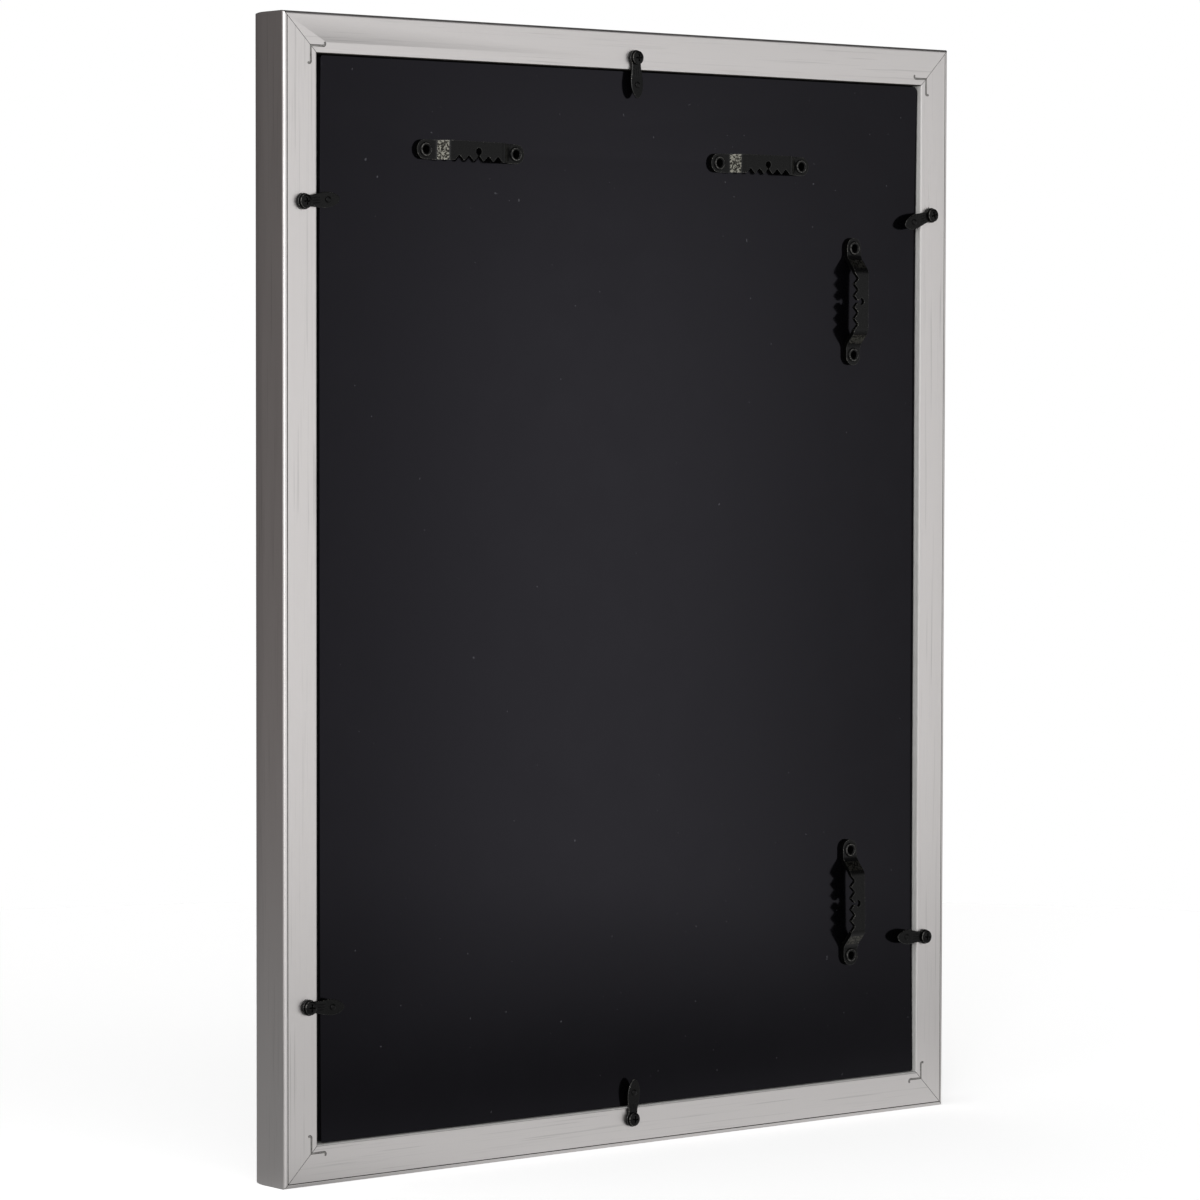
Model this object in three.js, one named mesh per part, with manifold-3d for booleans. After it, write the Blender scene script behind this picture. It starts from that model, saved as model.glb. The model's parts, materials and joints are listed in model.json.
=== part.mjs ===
// A collage photo frame for a 12 by 16 inch picture area, its back closed by six turn buttons.
// Millimetres, +Z up. The glazed front faces -Y and the back, with its hangers, faces +Y.
// The origin is under the middle of the whole part, on the surface that it stands on.
// Left and right are as seen from the front, so +X is on the left when the back is seen.

import * as THREE from 'three';
import { mergeVertices } from 'three/addons/utils/BufferGeometryUtils.js';
import Module from 'manifold-3d';

const wasm = await Module();
wasm.setup();

// Picture area and the moulding round it
const picture_width = 304.8;
const picture_height = 406.4;
const rebate_play = 1.5;
const rail_back_width = 15.3;
const rail_depth = 19.3;
const lip_reach = 5;
const arris_radius = 1.3;
const inner_arris_radius = 0.6;
const mitre_gap = 0.12;

// What lies in the rebate, from the front to the back
const layer_gap = 0.05;
const glass_thickness = 2;
const mat_thickness = 1.4;
const print_thickness = 0.3;
const filler_thickness = 1.6;
const filler_play = 0.8;
const board_thickness = 2.9;
const board_recess = 2.6;

// Gaps between the board's edges and the walls of the rebate
const board_gap_top = 0.5;
const board_gap_bottom = 0.5;
const board_gap_left = 0.5;
const board_gap_right = 3.9;
const board_corner_cut = 2;

// Collage windows in the mat, and the prints behind them
const window_columns = 2;
const window_rows = 2;
const mat_border = 43.8;
const window_gap = 26;
const print_overlap = 3;

// Corner nails across the mitres
const nail_from_rebate = 2.8;
const nail_leg = 5.8;
const nail_thickness = 0.5;
const nail_height = 8;
const nail_curl_radius = 0.8;
const nail_curl_angle = 130;
const nail_slot_clearance = 0.3;

// Turn buttons: a round eye on a low boss, a ribbed neck and a leaf that rises to its tip
const eye_radius = 3.05;
const boss_radius = 2.8;
const boss_foot_radius = 2.5;
const boss_height = 0.2;
const button_thickness = 0.85;
const button_lift = 0.3;
const button_reach = 15.9;
const neck_half_width = 2.15;
const neck_easing = 2.6;
const leaf_half_width = 3;
const leaf_widest_at = 9.8;
const leaf_easing = 3.4;
const tip_half_width = 1.3;
const bend_at = 7.7;
const tip_rise = 0.9;
const rib_count = 3;
const rib_width = 0.5;
const rib_height = 0.25;
const rib_length = 3.4;
const rib_pitch = 1.05;
const rib_from_eye = 0.5;
const dimple_radius = 1.2;
const dimple_floor_radius = 0.6;
const dimple_depth = 0.5;
const dimple_from_tip = 5.3;

// Screws that the buttons turn on
const screw_running_gap = 0.3;
const screw_radius = 1.1;
const screw_length = 9;
const screw_point_length = 3;
const screw_point_radius = 0.3;
const screw_point_rounding = 0.2;
const pilot_clearance = 0.3;
const head_radius = 2.7;
const head_edge_height = 0.6;
const head_dome_height = 0.75;
const drive_width = 0.75;
const drive_span = 3.3;
const drive_depth = 0.9;

// Each button: the side it is on, its screw's distance from the middle, the start or the end of
// that side (sides run counter-clockwise, as seen from the front), the screw's distance from the
// rebate wall, and the degrees that its leaf is turned towards the side's end
const button_places = [
  { name: 'top', side: 'top', from: 'middle', along: 0, from_rebate: 4.8, turned: 1.5 },
  { name: 'bottom', side: 'bottom', from: 'middle', along: 0.5, from_rebate: 4.7, turned: -2.2 },
  { name: 'right_upper', side: 'right', from: 'end', along: 70.5, from_rebate: 6.5, turned: 4.5 },
  { name: 'right_lower', side: 'right', from: 'start', along: 67.8, from_rebate: 4.5, turned: -3 },
  { name: 'left_upper', side: 'left', from: 'start', along: 68.6, from_rebate: 5.3, turned: 16.5 },
  { name: 'left_lower', side: 'left', from: 'end', along: 71.8, from_rebate: 3.7, turned: -3 },
];

// Sawtooth hangers and the eyelets that fix them to the board
const hanger_hole_spacing = 43.5;
const hanger_end_reach = 4.2;
const hanger_width = 7.5;
const hanger_thickness = 1.7;
const hanger_bridge = 25.1;
const hanger_slope = 5.6;
const hanger_rise = 4.9;
const tooth_count = 5;
const tooth_row_margin = 0.85;
const tooth_depth = 2;
const tooth_flat = 0.4;
const keyhole_radius = 1.4;
const keyhole_from_edge = 3.7;
const keyhole_slot_width = 0.9;
const keyhole_slot_overlap = 0.3;
const eyelet_bore_radius = 1.5;
const eyelet_wall = 0.3;
const eyelet_flange_reach = 1.05;
const eyelet_flange_height = 0.6;
const eyelet_flange_easing = 0.2;
const eyelet_clinch_reach = 0.75;
const eyelet_clinch_height = 0.4;
const eyelet_clearance = 0.3;

// Two hangers lie along the board's top edge and two stand along its left edge. Each is placed
// from the two board edges nearest to it, right or left by side and top or bottom by end, and is
// turned by a small angle in degrees, counter-clockwise as seen from the back.
const top_right_hanger_in = 69.1;
const top_right_hanger_down = 33.9;
const top_left_hanger_in = 87.2;
const top_left_hanger_down = 34.6;
const side_upper_hanger_in = 36;
const side_upper_hanger_down = 88.85;
const side_lower_hanger_in = 36.4;
const side_lower_hanger_up = 72.9;
const hanger_places = [
  {
    name: 'top_right', lies: 'along_top', side: 1, end: 1, turned: -0.8,
    from_side: top_right_hanger_in, from_end: top_right_hanger_down,
  },
  {
    name: 'top_left', lies: 'along_top', side: -1, end: 1, turned: -0.3,
    from_side: top_left_hanger_in, from_end: top_left_hanger_down,
  },
  {
    name: 'side_upper', lies: 'along_left', side: -1, end: 1, turned: -0.4,
    from_side: side_upper_hanger_in, from_end: side_upper_hanger_down,
  },
  {
    name: 'side_lower', lies: 'along_left', side: -1, end: -1, turned: 0.8,
    from_side: side_lower_hanger_in, from_end: side_lower_hanger_up,
  },
];

// How finely round shapes are cut, and how far a cutter runs past the face that it opens
const arris_segments = 2;
const curve_segments = 6;
const boss_segments = 24;
const bore_segments = 16;
const head_segments = 20;
const dome_steps = 3;
const curl_steps = 5;
const rib_segments = 6;
const dimple_segments = 12;
const ear_segments = 8;
const cutter_overrun = 1;

// Sizes that follow
const rebate_width = picture_width + 2 * rebate_play;
const rebate_height = picture_height + 2 * rebate_play;
const frame_width = rebate_width + 2 * rail_back_width;
const frame_height = rebate_height + 2 * rail_back_width;
const frame_middle = frame_height / 2;
const rail_front_width = rail_back_width + lip_reach;
const board_width = rebate_width - board_gap_left - board_gap_right;
const board_height = rebate_height - board_gap_top - board_gap_bottom;
const sight_width = (picture_width - 2 * mat_border - (window_columns - 1) * window_gap) / window_columns;
const sight_height = (picture_height - 2 * mat_border - (window_rows - 1) * window_gap) / window_rows;
const print_width = sight_width + 2 * print_overlap;
const print_height = sight_height + 2 * print_overlap;
const button_top = button_lift + boss_height + button_thickness;
const head_under = button_top + screw_running_gap;
const head_top = head_under + head_edge_height + head_dome_height;
const hanger_top = layer_gap + hanger_thickness + hanger_rise - board_recess;
const whole_depth = rail_depth + Math.max(head_top, hanger_top);
const tooth_pitch = (hanger_bridge - 2 * tooth_row_margin) / tooth_count;
const eyelet_outer_radius = eyelet_bore_radius + eyelet_wall;
const quarter_turn = Math.PI / 2;
const full_turn = 2 * Math.PI;
const degree = Math.PI / 180;

// Depths of the layers' front faces. The lip at the front takes what the layers leave of the rail.
const front_y = -whole_depth / 2;
const back_y = front_y + rail_depth;
const board_back_y = back_y - board_recess;
const board_y = board_back_y - board_thickness;
const filler_y = board_y - layer_gap - filler_thickness;
const print_y = filler_y - layer_gap - print_thickness;
const mat_y = print_y - layer_gap - mat_thickness;
const glass_y = mat_y - layer_gap - glass_thickness;
const lip_thickness = glass_y - layer_gap - front_y;

// Each side of the frame is the bottom side turned about the frame's middle
const sides = {
  bottom: { turn: 0, length: frame_width, to_edge: frame_height / 2 },
  left: { turn: 1, length: frame_height, to_edge: frame_width / 2 },
  top: { turn: 2, length: frame_width, to_edge: frame_height / 2 },
  right: { turn: 3, length: frame_height, to_edge: frame_width / 2 },
};

// Local axes of what is fixed to the back. Local +Z points backwards in all of them.
const row_x = new THREE.Vector3(1, 0, 0);
const row_y = new THREE.Vector3(0, 1, 0);
const row_z = new THREE.Vector3(0, 0, 1);
const facing = {
  bottom_side: new THREE.Matrix4().makeBasis(row_z, row_x, row_y),
  along_top: new THREE.Matrix4().makeBasis(row_x.clone().negate(), row_z, row_y),
  along_left: new THREE.Matrix4().makeBasis(row_z.clone().negate(), row_x.clone().negate(), row_y),
};

// Materials
const foil = new THREE.MeshStandardMaterial({ color: 0xbfbcb9, roughness: 0.38, metalness: 0.75 });
const black_steel = new THREE.MeshStandardMaterial({ color: 0x17171a, roughness: 0.45, metalness: 0.6 });
const nail_steel = new THREE.MeshStandardMaterial({ color: 0x4c4a48, roughness: 0.5, metalness: 0.8 });
const black_board = new THREE.MeshStandardMaterial({ color: 0x201f24, roughness: 0.5, metalness: 0 });
const card = new THREE.MeshStandardMaterial({ color: 0x26262a, roughness: 0.9, metalness: 0 });
const mat_card = new THREE.MeshStandardMaterial({ color: 0xf1efe9, roughness: 0.9, metalness: 0 });
const print_paper = new THREE.MeshStandardMaterial({ color: 0xa9b4bd, roughness: 0.35, metalness: 0 });
const glass = new THREE.MeshStandardMaterial({
  color: 0xe8f2ee,
  roughness: 0.05,
  metalness: 0,
  transparent: true,
  opacity: 0.3,
});

// A closed solid from a three.js geometry, for cutting and joining
function to_solid(geometry) {
  const bare = geometry.clone();
  for (const name of Object.keys(bare.attributes)) {
    if (name !== 'position') bare.deleteAttribute(name);
  }
  const merged = mergeVertices(bare, 1e-4);
  return new wasm.Manifold(new wasm.Mesh({
    numProp: 3,
    vertProperties: Float32Array.from(merged.attributes.position.array),
    triVerts: Uint32Array.from(merged.index.array),
  }));
}

function to_geometry(solid) {
  const mesh = solid.getMesh();
  const geometry = new THREE.BufferGeometry();
  geometry.setAttribute('position', new THREE.BufferAttribute(new Float32Array(mesh.vertProperties), 3));
  geometry.setIndex(new THREE.BufferAttribute(new Uint32Array(mesh.triVerts), 1));
  geometry.computeVertexNormals();
  return geometry;
}

function joined(...geometries) {
  return to_geometry(geometries.map(to_solid).reduce((whole, piece) => whole.add(piece)));
}

function cut(geometry, ...cutters) {
  return to_geometry(cutters.map(to_solid).reduce((left, tool) => left.subtract(tool), to_solid(geometry)));
}

function common(first, second) {
  return to_geometry(to_solid(first).intersect(to_solid(second)));
}

// Cuts the cutters, which are placed in the frame, out of a mesh that is placed there too
function carve(mesh, cutters) {
  mesh.updateWorldMatrix(true, false);
  const to_mesh = mesh.matrixWorld.clone().invert();
  const tools = cutters.map((cutter) => {
    cutter.updateWorldMatrix(true, false);
    return cutter.geometry.clone().applyMatrix4(to_mesh.clone().multiply(cutter.matrixWorld));
  });
  mesh.geometry = cut(mesh.geometry, ...tools);
}

function named(name, geometry, material) {
  const mesh = new THREE.Mesh(geometry, material);
  mesh.name = name;
  return mesh;
}

// A slab whose outline lies in the local XY plane, from z = 0 to z = height
function slab(shape, height, segments = curve_segments) {
  return new THREE.ExtrudeGeometry(shape, { depth: height, bevelEnabled: false, curveSegments: segments });
}

function post(radius, height, segments) {
  const shape = new THREE.Shape();
  shape.absarc(0, 0, radius, 0, full_turn, false);
  return slab(shape, height, segments / 2);
}

// The outline of a strip of even thickness that follows a line of points
function ribbon(points, thickness) {
  const half = thickness / 2;
  const offsets = points.map((point, i) => {
    const before = points[Math.max(i - 1, 0)];
    const after = points[Math.min(i + 1, points.length - 1)];
    const arriving = point.clone().sub(before);
    const leaving = after.clone().sub(point);
    const into = arriving.lengthSq() > 0 ? arriving.normalize() : leaving.clone().normalize();
    const out = leaving.lengthSq() > 0 ? leaving.normalize() : into.clone();
    const normal = new THREE.Vector2(-(into.y + out.y), into.x + out.x).normalize();
    const stretch = half / Math.abs(normal.dot(new THREE.Vector2(-out.y, out.x)));
    return normal.multiplyScalar(stretch);
  });
  const left = points.map((point, i) => point.clone().add(offsets[i]));
  const right = points.map((point, i) => point.clone().sub(offsets[i])).reverse();
  return new THREE.Shape([...left, ...right]);
}

// A strip bent along a side line in local XZ and trimmed to an outline in local XY
function bent_strip(side_line, thickness, half_width, outline, segments) {
  const width = 2 * (half_width + cutter_overrun);
  const strip = slab(ribbon(side_line, thickness), width).rotateX(quarter_turn).translate(0, width / 2, 0);
  const heights = side_line.map((point) => point.y);
  const low = Math.min(...heights) - thickness - cutter_overrun;
  const high = Math.max(...heights) + thickness + cutter_overrun;
  return common(strip, slab(outline, high - low, segments).translate(0, 0, low));
}

// Rails: an L section swept along the side, with its ends mitred at 45 degrees
function rail_section() {
  const inner = rail_back_width;
  const front = rail_front_width;
  const shape = new THREE.Shape();
  shape.moveTo(arris_radius, 0);
  shape.lineTo(front - inner_arris_radius, 0);
  shape.absarc(front - inner_arris_radius, inner_arris_radius, inner_arris_radius, -quarter_turn, 0, false);
  shape.lineTo(front, lip_thickness);
  shape.lineTo(inner, lip_thickness);
  shape.lineTo(inner, rail_depth - inner_arris_radius);
  shape.absarc(inner - inner_arris_radius, rail_depth - inner_arris_radius, inner_arris_radius,
    0, quarter_turn, false);
  shape.lineTo(arris_radius, rail_depth);
  shape.absarc(arris_radius, rail_depth - arris_radius, arris_radius, quarter_turn, 2 * quarter_turn, false);
  shape.lineTo(0, arris_radius);
  shape.absarc(arris_radius, arris_radius, arris_radius, 2 * quarter_turn, 3 * quarter_turn, false);
  return shape;
}

function rail_geometry(length) {
  const geometry = slab(rail_section(), length, arris_segments);
  const position = geometry.attributes.position;
  for (let i = 0; i < position.count; i += 1) {
    const inward = position.getX(i) + mitre_gap / 2;
    const at_start = position.getZ(i) < length / 2;
    position.setZ(i, at_start ? inward : length - inward);
  }
  return geometry;
}

// The holder of everything that belongs to one side, turned about the frame's middle
function side_group(side) {
  const group = new THREE.Group();
  group.position.set(0, 0, frame_middle);
  group.rotation.y = sides[side].turn * quarter_turn;
  return group;
}

function make_rail(side) {
  const rail = named(`${side}_rail`, rail_geometry(sides[side].length), foil);
  rail.setRotationFromMatrix(new THREE.Matrix4().makeBasis(row_z, row_y, row_x.clone().negate()));
  rail.position.set(sides[side].length / 2, front_y, -sides[side].to_edge);
  const group = side_group(side);
  group.add(rail);
  return { group, rail };
}

// Corner nails: a bent strip whose point lies on the mitre and whose legs lie in two rails
function nail_line() {
  const line = [];
  for (let i = 0; i <= curl_steps; i += 1) {
    const angle = (90 - nail_curl_angle * (1 - i / curl_steps)) * degree;
    line.push(new THREE.Vector2(
      nail_leg + nail_curl_radius * Math.cos(angle),
      nail_curl_radius * (Math.sin(angle) - 1),
    ));
  }
  const mirrored = line.map((point) => new THREE.Vector2(point.y, point.x)).reverse();
  return [...line, new THREE.Vector2(0, 0), ...mirrored];
}

// A nail's local X runs along one rail of its corner and its local Y along the other. The corners
// are the bottom left one turned about the frame's middle, in quarter turns.
function place_nail(mesh, corner_turn, height) {
  const inset = rail_back_width - nail_from_rebate;
  const half_width = frame_width / 2 - inset;
  const half_height = frame_height / 2 - inset;
  const [side_x, side_z] = [[-1, -1], [-1, 1], [1, 1], [1, -1]][corner_turn];
  mesh.position.set(side_x * half_width, back_y - height, frame_middle + side_z * half_height);
  const turned = new THREE.Matrix4().makeRotationY(corner_turn * quarter_turn);
  mesh.setRotationFromMatrix(turned.multiply(facing.bottom_side));
}

function make_nail(name, corner_turn) {
  const nail = named(name, slab(ribbon(nail_line(), nail_thickness), nail_height), nail_steel);
  place_nail(nail, corner_turn, nail_height);
  return nail;
}

function nail_slot(corner_turn) {
  const width = nail_thickness + 2 * nail_slot_clearance;
  const depth = nail_height + nail_slot_clearance;
  const slot = new THREE.Mesh(slab(ribbon(nail_line(), width), depth + cutter_overrun));
  place_nail(slot, corner_turn, depth);
  return slot;
}

// Turn buttons: local XY is the plate, with the leaf along +X, and local +Z points backwards
function button_outline() {
  const meet = Math.asin(neck_half_width / eye_radius);
  const meet_x = eye_radius * Math.cos(meet);
  const shape = new THREE.Shape();
  shape.moveTo(meet_x, -neck_half_width);
  shape.bezierCurveTo(meet_x + neck_easing, -neck_half_width, leaf_widest_at - neck_easing, -leaf_half_width,
    leaf_widest_at, -leaf_half_width);
  shape.bezierCurveTo(leaf_widest_at + leaf_easing, -leaf_half_width, button_reach, -tip_half_width,
    button_reach, 0);
  shape.bezierCurveTo(button_reach, tip_half_width, leaf_widest_at + leaf_easing, leaf_half_width,
    leaf_widest_at, leaf_half_width);
  shape.bezierCurveTo(leaf_widest_at - neck_easing, leaf_half_width, meet_x + neck_easing, neck_half_width,
    meet_x, neck_half_width);
  shape.absarc(0, 0, eye_radius, meet, full_turn - meet, false);
  return shape;
}

function button_geometry() {
  const plate_middle = boss_height + button_thickness / 2;
  const plate_top = boss_height + button_thickness;
  const tip_x = button_reach + cutter_overrun;
  const rise_per_length = tip_rise / (button_reach - bend_at);
  const side_line = [
    new THREE.Vector2(-(eye_radius + cutter_overrun), plate_middle),
    new THREE.Vector2(bend_at, plate_middle),
    new THREE.Vector2(tip_x, plate_middle + (tip_x - bend_at) * rise_per_length),
  ];
  const plate = bent_strip(side_line, button_thickness, leaf_half_width, button_outline(), curve_segments);
  const boss = new THREE.CylinderGeometry(boss_radius, boss_foot_radius, plate_middle, boss_segments);
  boss.rotateX(quarter_turn).translate(0, 0, plate_middle / 2);
  const ribs = [];
  for (let i = 0; i < rib_count; i += 1) {
    const rib = new THREE.CylinderGeometry(rib_width / 2, rib_width / 2, rib_length, rib_segments);
    const side = (i - (rib_count - 1) / 2) * rib_pitch;
    rib.rotateZ(quarter_turn).scale(1, 1, 2 * rib_height / rib_width);
    rib.translate(eye_radius + rib_from_eye + rib_length / 2, side, plate_top);
    ribs.push(rib);
  }
  const screw_hole = post(screw_radius + screw_running_gap, plate_top + 2 * cutter_overrun, bore_segments);
  screw_hole.translate(0, 0, -cutter_overrun);
  const dimple_x = button_reach - dimple_from_tip;
  const dimple_top = plate_top + (dimple_x - bend_at) * rise_per_length;
  const dimple = new THREE.CylinderGeometry(dimple_radius, dimple_floor_radius, 2 * dimple_depth,
    dimple_segments);
  dimple.rotateX(quarter_turn).translate(dimple_x, 0, dimple_top);
  return cut(joined(plate, boss, ...ribs), screw_hole, dimple);
}

// A place on one side's back face: local +X points to the middle of the frame, +Z backwards
function button_seat(place, height) {
  const { length, to_edge } = sides[place.side];
  const starts = { middle: 0, start: -length / 2, end: length / 2 };
  const along = place.from === 'end' ? starts.end - place.along : starts[place.from] + place.along;
  const seat = new THREE.Group();
  seat.position.set(along, back_y + height, -(to_edge - rail_back_width + place.from_rebate));
  seat.setRotationFromMatrix(facing.bottom_side);
  return seat;
}

// Screws: the head stands above the button and the shank runs into the rail, along local -Z
function screw_geometry() {
  const shank_end = -(head_under + screw_length);
  const profile = [
    [0, shank_end],
    [screw_point_radius, shank_end + screw_point_rounding],
    [screw_radius, shank_end + screw_point_length],
    [screw_radius, 0],
    [head_radius, 0],
    [head_radius, head_edge_height],
  ];
  for (let i = 1; i < dome_steps; i += 1) {
    const angle = i / dome_steps * quarter_turn;
    profile.push([head_radius * Math.cos(angle), head_edge_height + head_dome_height * Math.sin(angle)]);
  }
  profile.push([0, head_edge_height + head_dome_height]);
  const points = profile.map(([radius, height]) => new THREE.Vector2(radius, height));
  const body = new THREE.LatheGeometry(points, head_segments).rotateX(quarter_turn);
  const slot_height = drive_depth + cutter_overrun;
  const slot_middle = head_edge_height + head_dome_height - drive_depth + slot_height / 2;
  const one = new THREE.BoxGeometry(drive_span, drive_width, slot_height).translate(0, 0, slot_middle);
  const other = new THREE.BoxGeometry(drive_width, drive_span, slot_height).translate(0, 0, slot_middle);
  return cut(body, one, other);
}

// Hangers: local X runs along the strip, the teeth point to local -Y, and +Z is backwards
function hanger_side_line() {
  const end = hanger_hole_spacing / 2 + hanger_end_reach + cutter_overrun;
  const foot = hanger_bridge / 2 + hanger_slope;
  const low = hanger_thickness / 2;
  const high = low + hanger_rise;
  const stations = [[-end, low], [-foot, low], [-hanger_bridge / 2, high]];
  const mirrored = stations.map(([x, z]) => [-x, z]).reverse();
  return [...stations, ...mirrored].map(([x, z]) => new THREE.Vector2(x, z));
}

function hanger_outline() {
  const half = hanger_width / 2;
  const hole_at = hanger_hole_spacing / 2;
  const round_at = hole_at + hanger_end_reach - half;
  const shape = new THREE.Shape();
  shape.moveTo(-round_at, -half);
  for (let i = 0; i < tooth_count; i += 1) {
    const middle = (i - (tooth_count - 1) / 2) * tooth_pitch;
    const flank = (tooth_pitch - tooth_flat) / 2;
    shape.lineTo(middle - flank, -half);
    shape.lineTo(middle, -half + tooth_depth);
    shape.lineTo(middle + flank, -half);
  }
  shape.lineTo(round_at, -half);
  shape.absarc(round_at, 0, half, -quarter_turn, quarter_turn, false);
  shape.lineTo(-round_at, half);
  shape.absarc(-round_at, 0, half, quarter_turn, 3 * quarter_turn, false);
  for (const side of [-1, 1]) {
    const hole = new THREE.Path();
    hole.absarc(side * hole_at, 0, eyelet_outer_radius + eyelet_clearance, 0, full_turn, true);
    shape.holes.push(hole);
  }
  return shape;
}

function hanger_geometry() {
  const half = hanger_width / 2;
  const strip = bent_strip(hanger_side_line(), hanger_thickness, half, hanger_outline(), ear_segments);
  const height = hanger_rise + hanger_thickness + 2 * cutter_overrun;
  const keyhole = post(keyhole_radius, height, dimple_segments);
  keyhole.translate(0, keyhole_from_edge - half, -cutter_overrun);
  const slot_start = tooth_depth - keyhole_slot_overlap;
  const slot_length = keyhole_from_edge - slot_start;
  const slot = new THREE.BoxGeometry(keyhole_slot_width, slot_length, height);
  slot.translate(0, slot_start + slot_length / 2 - half, height / 2 - cutter_overrun);
  return cut(strip, keyhole, slot);
}

// Eyelets: a flanged tube through the hanger's ear and the board, rolled over inside the board
function eyelet_geometry() {
  const bore = eyelet_bore_radius;
  const outer = eyelet_outer_radius;
  const flange = outer + eyelet_flange_reach;
  const clinch = outer + eyelet_clinch_reach;
  const seat = hanger_thickness + layer_gap;
  const top = seat + eyelet_flange_height;
  const end = -(board_thickness + layer_gap);
  const profile = [
    [bore, end],
    [clinch, end],
    [clinch, end + eyelet_clinch_height],
    [outer, end + eyelet_clinch_height],
    [outer, seat],
    [flange, seat],
    [flange - eyelet_flange_easing, top],
    [bore + eyelet_flange_easing, top],
    [bore, top - eyelet_flange_easing],
    [bore, end],
  ];
  const points = profile.map(([radius, height]) => new THREE.Vector2(radius, height));
  return new THREE.LatheGeometry(points, bore_segments).rotateX(quarter_turn);
}

// A hanger's place on the board's back face, with local +Z pointing backwards
function hanger_seat(place) {
  const seat = new THREE.Group();
  const x = place.side * (board_width / 2 - place.from_side);
  const z = place.end * (board_height / 2 - place.from_end);
  seat.position.set(x, board_thickness + layer_gap, z);
  seat.setRotationFromMatrix(facing[place.lies]);
  seat.rotateZ(place.turned * degree);
  return seat;
}

// The two holes of an eyelet in the board: one for its tube and a wider one for its rolled end
function eyelet_holes(x) {
  const tube_length = board_thickness + layer_gap + 2 * cutter_overrun;
  const tube = new THREE.Mesh(post(eyelet_outer_radius + eyelet_clearance, tube_length, bore_segments));
  tube.position.set(x, 0, cutter_overrun - tube_length);
  const roll_radius = eyelet_outer_radius + eyelet_clinch_reach + eyelet_clearance;
  const roll_depth = eyelet_clinch_height + eyelet_clearance + cutter_overrun;
  const roll = new THREE.Mesh(post(roll_radius, roll_depth, bore_segments));
  roll.position.set(x, 0, -(board_thickness + layer_gap + cutter_overrun));
  return [tube, roll];
}

function cut_corner_rectangle(width, height, corner) {
  const x = width / 2;
  const y = height / 2;
  const shape = new THREE.Shape();
  shape.moveTo(-x + corner, -y);
  shape.lineTo(x - corner, -y);
  shape.lineTo(x, -y + corner);
  shape.lineTo(x, y - corner);
  shape.lineTo(x - corner, y);
  shape.lineTo(-x + corner, y);
  shape.lineTo(-x, y - corner);
  shape.lineTo(-x, -y + corner);
  shape.closePath();
  return shape;
}

// An upright sheet in the middle of the rebate, with its front face at a given depth
function make_sheet(name, width, thickness, height, front, material) {
  const sheet = named(name, new THREE.BoxGeometry(width, thickness, height), material);
  sheet.position.set(0, front + thickness / 2, frame_middle);
  return sheet;
}

// The middles of the collage windows, row by row from the top left
function window_places() {
  const places = [];
  for (let row = 0; row < window_rows; row += 1) {
    for (let column = 0; column < window_columns; column += 1) {
      places.push({
        x: (column - (window_columns - 1) / 2) * (sight_width + window_gap),
        z: ((window_rows - 1) / 2 - row) * (sight_height + window_gap),
      });
    }
  }
  return places;
}

// A window cutter whose sides open towards the front at 45 degrees, for the mat's bevelled edges
function bevel_cutter() {
  const cutter = new THREE.BoxGeometry(sight_width, mat_thickness + 2 * cutter_overrun, sight_height);
  const position = cutter.attributes.position;
  for (let i = 0; i < position.count; i += 1) {
    const grow = position.getY(i) < 0 ? mat_thickness + cutter_overrun : -cutter_overrun;
    position.setX(i, position.getX(i) + Math.sign(position.getX(i)) * grow);
    position.setZ(i, position.getZ(i) + Math.sign(position.getZ(i)) * grow);
  }
  return cutter;
}

const photo_frame = new THREE.Group();
const rails = {};
for (const side of Object.keys(sides)) {
  const { group, rail } = make_rail(side);
  rails[side] = rail;
  photo_frame.add(group);
}

// Nails, each in a slot that runs through both rails of its corner
const corner_names = ['bottom_left', 'top_left', 'top_right', 'bottom_right'];
corner_names.forEach((corner, turn) => {
  photo_frame.add(make_nail(`corner_nail_${corner}`, turn));
  const slot = nail_slot(turn);
  for (const side of corner.split('_')) carve(rails[side], [slot]);
});

// Glass, mat, prints and filler
const pane = make_sheet('glass_pane', picture_width, glass_thickness, picture_height, glass_y, glass);
const mat = make_sheet('collage_mat', picture_width, mat_thickness, picture_height, mat_y, mat_card);
photo_frame.add(pane, mat);
window_places().forEach((place, i) => {
  const window_cutter = new THREE.Mesh(bevel_cutter());
  window_cutter.position.set(place.x, mat.position.y, frame_middle + place.z);
  carve(mat, [window_cutter]);
  const name = `photo_print_${i + 1}`;
  const print = make_sheet(name, print_width, print_thickness, print_height, print_y, print_paper);
  print.position.x += place.x;
  print.position.z += place.z;
  photo_frame.add(print);
});
const filler_width = picture_width - filler_play;
const filler_height = picture_height - filler_play;
photo_frame.add(make_sheet('filler_card', filler_width, filler_thickness, filler_height, filler_y, card));

// The backing board, with its hangers and their eyelets
const board_group = new THREE.Group();
board_group.position.set((board_gap_left - board_gap_right) / 2, board_y,
  frame_middle + (board_gap_bottom - board_gap_top) / 2);
photo_frame.add(board_group);
const board_blank = slab(cut_corner_rectangle(board_width, board_height, board_corner_cut), board_thickness);
const board = named('backing_board', board_blank.rotateX(quarter_turn).translate(0, board_thickness, 0),
  black_board);
board_group.add(board);
for (const place of hanger_places) {
  const seat = hanger_seat(place);
  seat.add(named(`hanger_${place.name}`, hanger_geometry(), black_steel));
  board_group.add(seat);
  for (const [end, side] of [['a', -1], ['b', 1]]) {
    const eyelet = named(`eyelet_${place.name}_${end}`, eyelet_geometry(), black_steel);
    eyelet.position.x = side * hanger_hole_spacing / 2;
    seat.add(eyelet);
    const holes = eyelet_holes(eyelet.position.x);
    seat.add(...holes);
    carve(board, holes);
    seat.remove(...holes);
  }
}

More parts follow.
